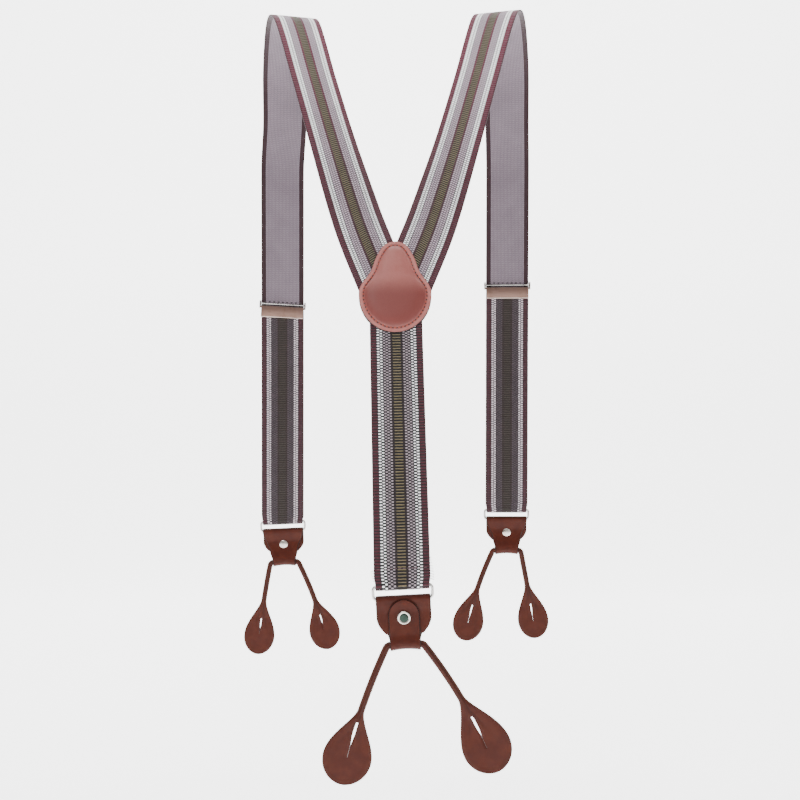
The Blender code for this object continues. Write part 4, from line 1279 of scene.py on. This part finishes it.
def yoke():
    matrix = yoke_matrix()
    turn = matrix.to_3x3()
    for name, side, puff in (("front", 1, 3.0 * MM), ("back", -1, 0.7 * MM)):
        top = yoke_patch(f"yoke_{name}_leather", f"yoke_{name}_patch", side, puff)
        _, around = yoke_outline(STITCH_INSET)
        count = round(around / STITCH_PITCH)
        line, _ = yoke_outline(STITCH_INSET, count)
        way = np.roll(line, -1, axis=0) - np.roll(line, 1, axis=0)
        places = [matrix @ Vector((x, y, side * (top + 0.02 * MM))) for x, y in line]
        ways = [turn @ Vector((x, y, 0)) for x, y in way]
        normals = [turn @ Vector((0, 0, side))] * count
        stitches(
            f"yoke_{name}_stitching", places, ways, normals, STITCH_LENGTH, THREAD_RADIUS, YOKE_THREAD,
            "harness",
        )
        gaps = [(a + b) / 2 for a, b in zip(places, places[1:] + places[:1])]
        # painted shade: dark spots for the needle holes between the stitches
        spots(
            f"yoke_{name}_needle_holes", gaps, ways, normals, 0.85 * MM, 0.72 * MM, SHADE,
            "yoke_leather", "harness",
        )


def back_seam():
    """The row of thread that closes the back strap's loop."""
    down, bar_axis, _, face, end = back_frame()
    rows = []
    for x in steps(-SEAM_REACH, SEAM_REACH, SEAM_STITCHES - 1):
        rows.append(end - down * BACK_SEAM + bar_axis * x + face * (WEBBING_THICKNESS / 2 - 0.35 * MM))
    ways, normals = [bar_axis] * SEAM_STITCHES, [face] * SEAM_STITCHES
    stitches("back_seam_stitching", rows, ways, normals, 2.0 * MM, 0.26 * MM, SEAM_THREAD, "harness")


def frays():
    """Loose warp ends at the lower corners of the back strap's sewn flap."""
    down, bar_axis, _, face, end = back_frame()
    for corner, sign, count in (("left", -1, 5), ("right", 1, 9)):
        lines = []
        for i in range(count):
            turn = math.sin(i * 12.9898 + sign) * 0.5 + 0.5
            start = end - down * ((3 + 1.6 * i) * MM) + bar_axis * (sign * (WEBBING_WIDTH / 2 - 0.5 * MM))
            length = (1.2 + 1.6 * turn) * MM
            lines.append([
                start + bar_axis * (sign * length * t) + face * (0.6 * MM * math.sin(i * 2.1) * t)
                + down * (length * 0.7 * (turn - 0.4) * t * t)
                for t in steps(0, 1, 5)
            ])
        for i, points in enumerate(lines):
            obj = tube(f"back_fray_{corner}_{i}", points, 0.16 * MM, FRAY_THREAD, sides=6)
            fit(obj, "webbing", "harness")


# ---- Adjusters ----


def plate_skin(name, profile, half_width, material, matrix, bevel):
    """A bar of constant section along X, with its ends and edges rounded."""
    bm = bmesh.new()
    ends = []
    for x in (-half_width, half_width):
        ends.append([bm.verts.new((x, y, z)) for y, z in profile])
    for i in range(len(profile)):
        j = (i + 1) % len(profile)
        bm.faces.new((ends[0][i], ends[0][j], ends[1][j], ends[1][i]))
    bm.faces.new(reversed(ends[0]))
    bm.faces.new(ends[1])
    bmesh.ops.recalc_face_normals(bm, faces=bm.faces)
    mesh = bpy.data.meshes.new(name)
    bm.to_mesh(mesh)
    bm.free()
    mesh.transform(matrix)
    obj = new_object(name, mesh, [material])
    rounding = obj.modifiers.new("round", "BEVEL")
    rounding.width = bevel
    rounding.segments = 3
    rounding.limit_method = "ANGLE"
    rounding.angle_limit = math.radians(40)
    mesh.shade_smooth()
    mesh.set_sharp_from_angle(angle=math.radians(50))
    return obj


def tooth_places():
    return [(i - (TEETH - 1) / 2) * TOOTH_PITCH for i in range(TEETH)]


def adjuster(side, strap):
    """The plate with its beads, cheeks and lugs, dark spots of painted shade where the teeth dent the
    webbing, the two bars and the lever.
    """
    down = (strap["run_end"] - strap["run_top"]).normalized()
    up = -down
    across = (X - X.dot(up) * up).normalized()
    out = up.cross(across)
    matrix = Matrix((across, out, up)).transposed().to_4x4()
    matrix.translation = strap_point(strap, strap["adjuster_z"])
    matrix = matrix @ Matrix.Rotation(strap["adjuster_roll"], 4, "Y")
    body = f"{side}_adjuster_body"

    back, front = -PLATE_DEPTH - SHEET_METAL / 2, -PLATE_DEPTH + SHEET_METAL / 2
    lip = 1.5 * MM
    profile = [
        (front, 0), (back + 0.15 * MM, 0), (back, -0.5 * MM), (back, -PLATE_HEIGHT + lip),
        (back + 0.45 * MM, -PLATE_HEIGHT), (front, -PLATE_HEIGHT),
    ]
    plate = plate_skin(f"{side}_adjuster_plate", profile, PLATE_WIDTH / 2, PLATE, matrix, 0.12 * MM)
    fit(plate, "plate_metal", body, f"{side}_adjuster_frame")
    for name, low, high, finish in (
        # painted highlight: the lower bead's light metal stands for light on the bevel
        ("lower", -PLATE_HEIGHT + 0.15 * MM, -PLATE_HEIGHT + 0.85 * MM, PLATE_EDGE_HIGHLIGHT),
        # painted shadow: the upper bead's dark metal is the dark line under the anvil bar
        ("upper", -0.45 * MM, 0.25 * MM, CHEEK_METAL),
    ):
        proud, sunk = back - 0.12 * MM, back + 0.5 * MM
        hem = [(proud, low + 0.1 * MM), (proud, high - 0.1 * MM), (sunk, high), (sunk, low)]
        half_width = PLATE_WIDTH / 2 - 0.3 * MM
        bead = plate_skin(f"{side}_plate_{name}_bead", hem, half_width, finish, matrix, 0.1 * MM)
        fit(bead, "plate_metal", body)

    skin = -WEBBING_THICKNESS / 2 - 0.05 * MM
    # painted shade: dark spots where the lever's teeth dent the webbing
    dent_shades = [matrix @ Vector((x, skin, BAR_RISE + 1.9 * MM)) for x in tooth_places()]
    along = matrix.to_3x3() @ X
    inward = matrix.to_3x3() @ -Y
    ways, normals = [along] * TEETH, [inward] * TEETH
    spots(f"{side}_tooth_dent_shades", dent_shades, ways, normals, 1.0 * MM, 0.6 * MM, DENT_SHADE, "webbing", body)

    top_out = PIN_OUT + 1.5 * MM
    outline = [
        (back + 0.1 * MM, -1.8 * MM), (back + 0.1 * MM, 3.2 * MM), (back + 1.0 * MM, 4.2 * MM),
        (top_out - 1.0 * MM, 4.2 * MM), (top_out, 3.2 * MM), (top_out, -0.8 * MM),
        (top_out - 1.0 * MM, -1.8 * MM),
    ]
    lug_back, lug_front = back + 0.12 * MM, front - 0.05 * MM
    lug_outline = [
        (lug_back, -1.7 * MM), (lug_back, -0.3 * MM), (lug_front, -0.3 * MM), (lug_front, -1.7 * MM),
    ]
    for sign, name in ((-1, "left"), (1, "right")):
        middle = sign * (CHEEK_INSIDE + SHEET_METAL / 2)
        cheek_at = matrix @ Matrix.Translation((middle, 0, 0))
        cheek = plate_skin(
            f"{side}_adjuster_{name}_cheek", outline, SHEET_METAL / 2, CHEEK_METAL, cheek_at, 0.2 * MM
        )
        fit(cheek, "nickel", body)
        lug_at = matrix @ Matrix.Translation((sign * (CHEEK_INSIDE + 0.1 * MM), 0, 0))
        lug = plate_skin(f"{side}_adjuster_{name}_lug", lug_outline, 0.8 * MM, PLATE, lug_at, 0.1 * MM)
        fit(lug, "plate_metal", body)

    reach = CHEEK_INSIDE + SHEET_METAL + 0.2 * MM
    for name, depth, radius in (("anvil_bar", ANVIL_OUT, ANVIL_RADIUS), ("lever_pin", PIN_OUT, PIN_RADIUS)):
        ends = [matrix @ Vector((x, depth, BAR_RISE)) for x in (-reach, reach)]
        rod = tube(f"{side}_{name}_rod", ends, radius, NICKEL, sides=16)
        fit(rod, "nickel", body, f"{side}_{name}")
    lever(side, matrix @ Matrix.Translation((0, PIN_OUT, BAR_RISE)))


def lever(side, matrix):
    """The cover wraps over its barrel and hangs down the outer face."""
    arc = [
        (BARREL_RADIUS * math.cos(a), BARREL_RADIUS * math.sin(a))
        for a in steps(math.radians(-35), math.radians(250), 26)
    ]
    inner = BARREL_RADIUS - SHEET_METAL
    profile = [
        (BARREL_RADIUS, -LEVER_LENGTH + 1 * MM), *arc[6:], (-0.2 * MM, -BARREL_RADIUS * 0.9),
        (inner, -1.2 * MM), (inner, -LEVER_LENGTH), (BARREL_RADIUS - 0.3 * MM, -LEVER_LENGTH),
    ]
    cover = plate_skin(f"{side}_lever_cover", profile, LEVER_HALF_WIDTH, NICKEL, matrix, 0.15 * MM)
    fit(cover, "nickel", f"{side}_lever_body", f"{side}_lever")
    root = -BARREL_RADIUS + 0.4 * MM
    tip = -(PIN_OUT - WEBBING_THICKNESS / 2 - AIR)
    outline = [(root, -0.7 * MM), (tip, -0.15 * MM), (tip, 0.15 * MM), (root, 0.7 * MM)]
    for i, x in enumerate(tooth_places()):
        at = matrix @ Matrix.Translation((x, 0, 0))
        tooth = plate_skin(f"{side}_lever_tooth_{i}", outline, 0.8 * MM, NICKEL, at, 0.05 * MM)
        fit(tooth, "nickel", f"{side}_lever_body")


# ---- Stage ----


def paper(name, shade, glow):
    n = Nodes(name)
    place = n.put("TexCoord").outputs["Object"]
    return n.finish(
        n.mix(n.noise(place, 40, 2), (shade,) * 3, (shade * 1.04,) * 3),
        0.9,
        Specular_IOR_Level=0.1,
        Emission_Color=(1, 1, 1, 1),
        Emission_Strength=glow,
    )


def paper_strip(name, line, material):
    """A stage sheet between two rows of points. line gives each pair."""
    bm = bmesh.new()
    rows = [[bm.verts.new(point) for point in pair] for pair in line]
    for (a, b), (c, d) in zip(rows, rows[1:]):
        bm.faces.new((a, c, d, b))
    mesh = bpy.data.meshes.new(name)
    bm.to_mesh(mesh)
    bm.free()
    new_object(name, mesh, [material])
    return mesh


def stage():
    """A floor that sweeps up behind the object, and darker walls seen only from the other angles."""
    turns = steps(0, math.pi / 2, 24)[1:]
    bend = [(0.9 + 0.6 * math.sin(a), -0.60 + 0.6 * (1 - math.cos(a))) for a in turns]
    profile = [(-3.0, -0.60), (0.9, -0.60), *bend, (1.5, 3.0)]
    line = [((-4.0, y, z), (4.0, y, z)) for y, z in profile]
    paper_strip("paper_sweep", line, paper("paper", 0.90, 2.2)).shade_smooth()
    corners = [(-3.9, 1.49), (-3.9, -2.9), (3.9, -2.9), (3.9, 1.49)]
    line = [((x, y, -0.6), (x, y, 3.0)) for x, y in corners]
    paper_strip("side_walls", line, paper("wall_paper", 0.05, 0.55))


def area_light(name, location, target, size, energy, colour=(1, 1, 1)):
    data = bpy.data.lights.new(name, "AREA")
    data.shape = "RECTANGLE"
    data.size, data.size_y = size
    data.energy = energy
    data.color = colour
    obj = bpy.data.objects.new(name, data)
    obj.location = location
    obj.rotation_euler = (Vector(target) - Vector(location)).to_track_quat("-Z", "Y").to_euler()
    bpy.context.scene.collection.objects.link(obj)


def lights_and_camera():
    middle = (0, 0, -0.25)
    area_light("key", (-0.7, -1.3, 1.1), middle, (0.9, 0.9), 18)
    area_light("fill", (1.3, -1.4, 0.2), middle, (1.4, 1.4), 3)
    area_light("top", (0, -0.2, 1.5), middle, (1.2, 1.2), 16)
    area_light("backdrop_wash", (0, 0.3, 1.3), (0, 1.5, 0.0), (2.4, 0.6), 50)
    world = bpy.data.worlds.new("studio")
    world.use_nodes = True
    world.node_tree.nodes["Background"].inputs["Color"].default_value = (1, 1, 1, 1)
    world.node_tree.nodes["Background"].inputs["Strength"].default_value = 0.08
    bpy.context.scene.world = world
    camera = bpy.data.cameras.new("camera")
    camera.lens = 50
    camera.sensor_width = 36
    holder = bpy.data.objects.new("camera", camera)
    holder.location = (0.0033, -0.82, -0.286)
    holder.rotation_euler = (math.radians(90), 0, 0)
    bpy.context.scene.collection.objects.link(holder)
    bpy.context.scene.camera = holder


# ---- Assembly ----

lights_and_camera()
stage()
yoke()
leather_end("back", ENDS["back"], back_webbing())
back_seam()
frays()
for strap_side, strap_spec in FRONT_STRAPS.items():
    shoulder_webbing(strap_side, strap_spec)
    leather_end(f"{strap_side}_front", ENDS[f"{strap_side}_front"], return_webbing(strap_side, strap_spec))
    adjuster(strap_side, strap_spec)
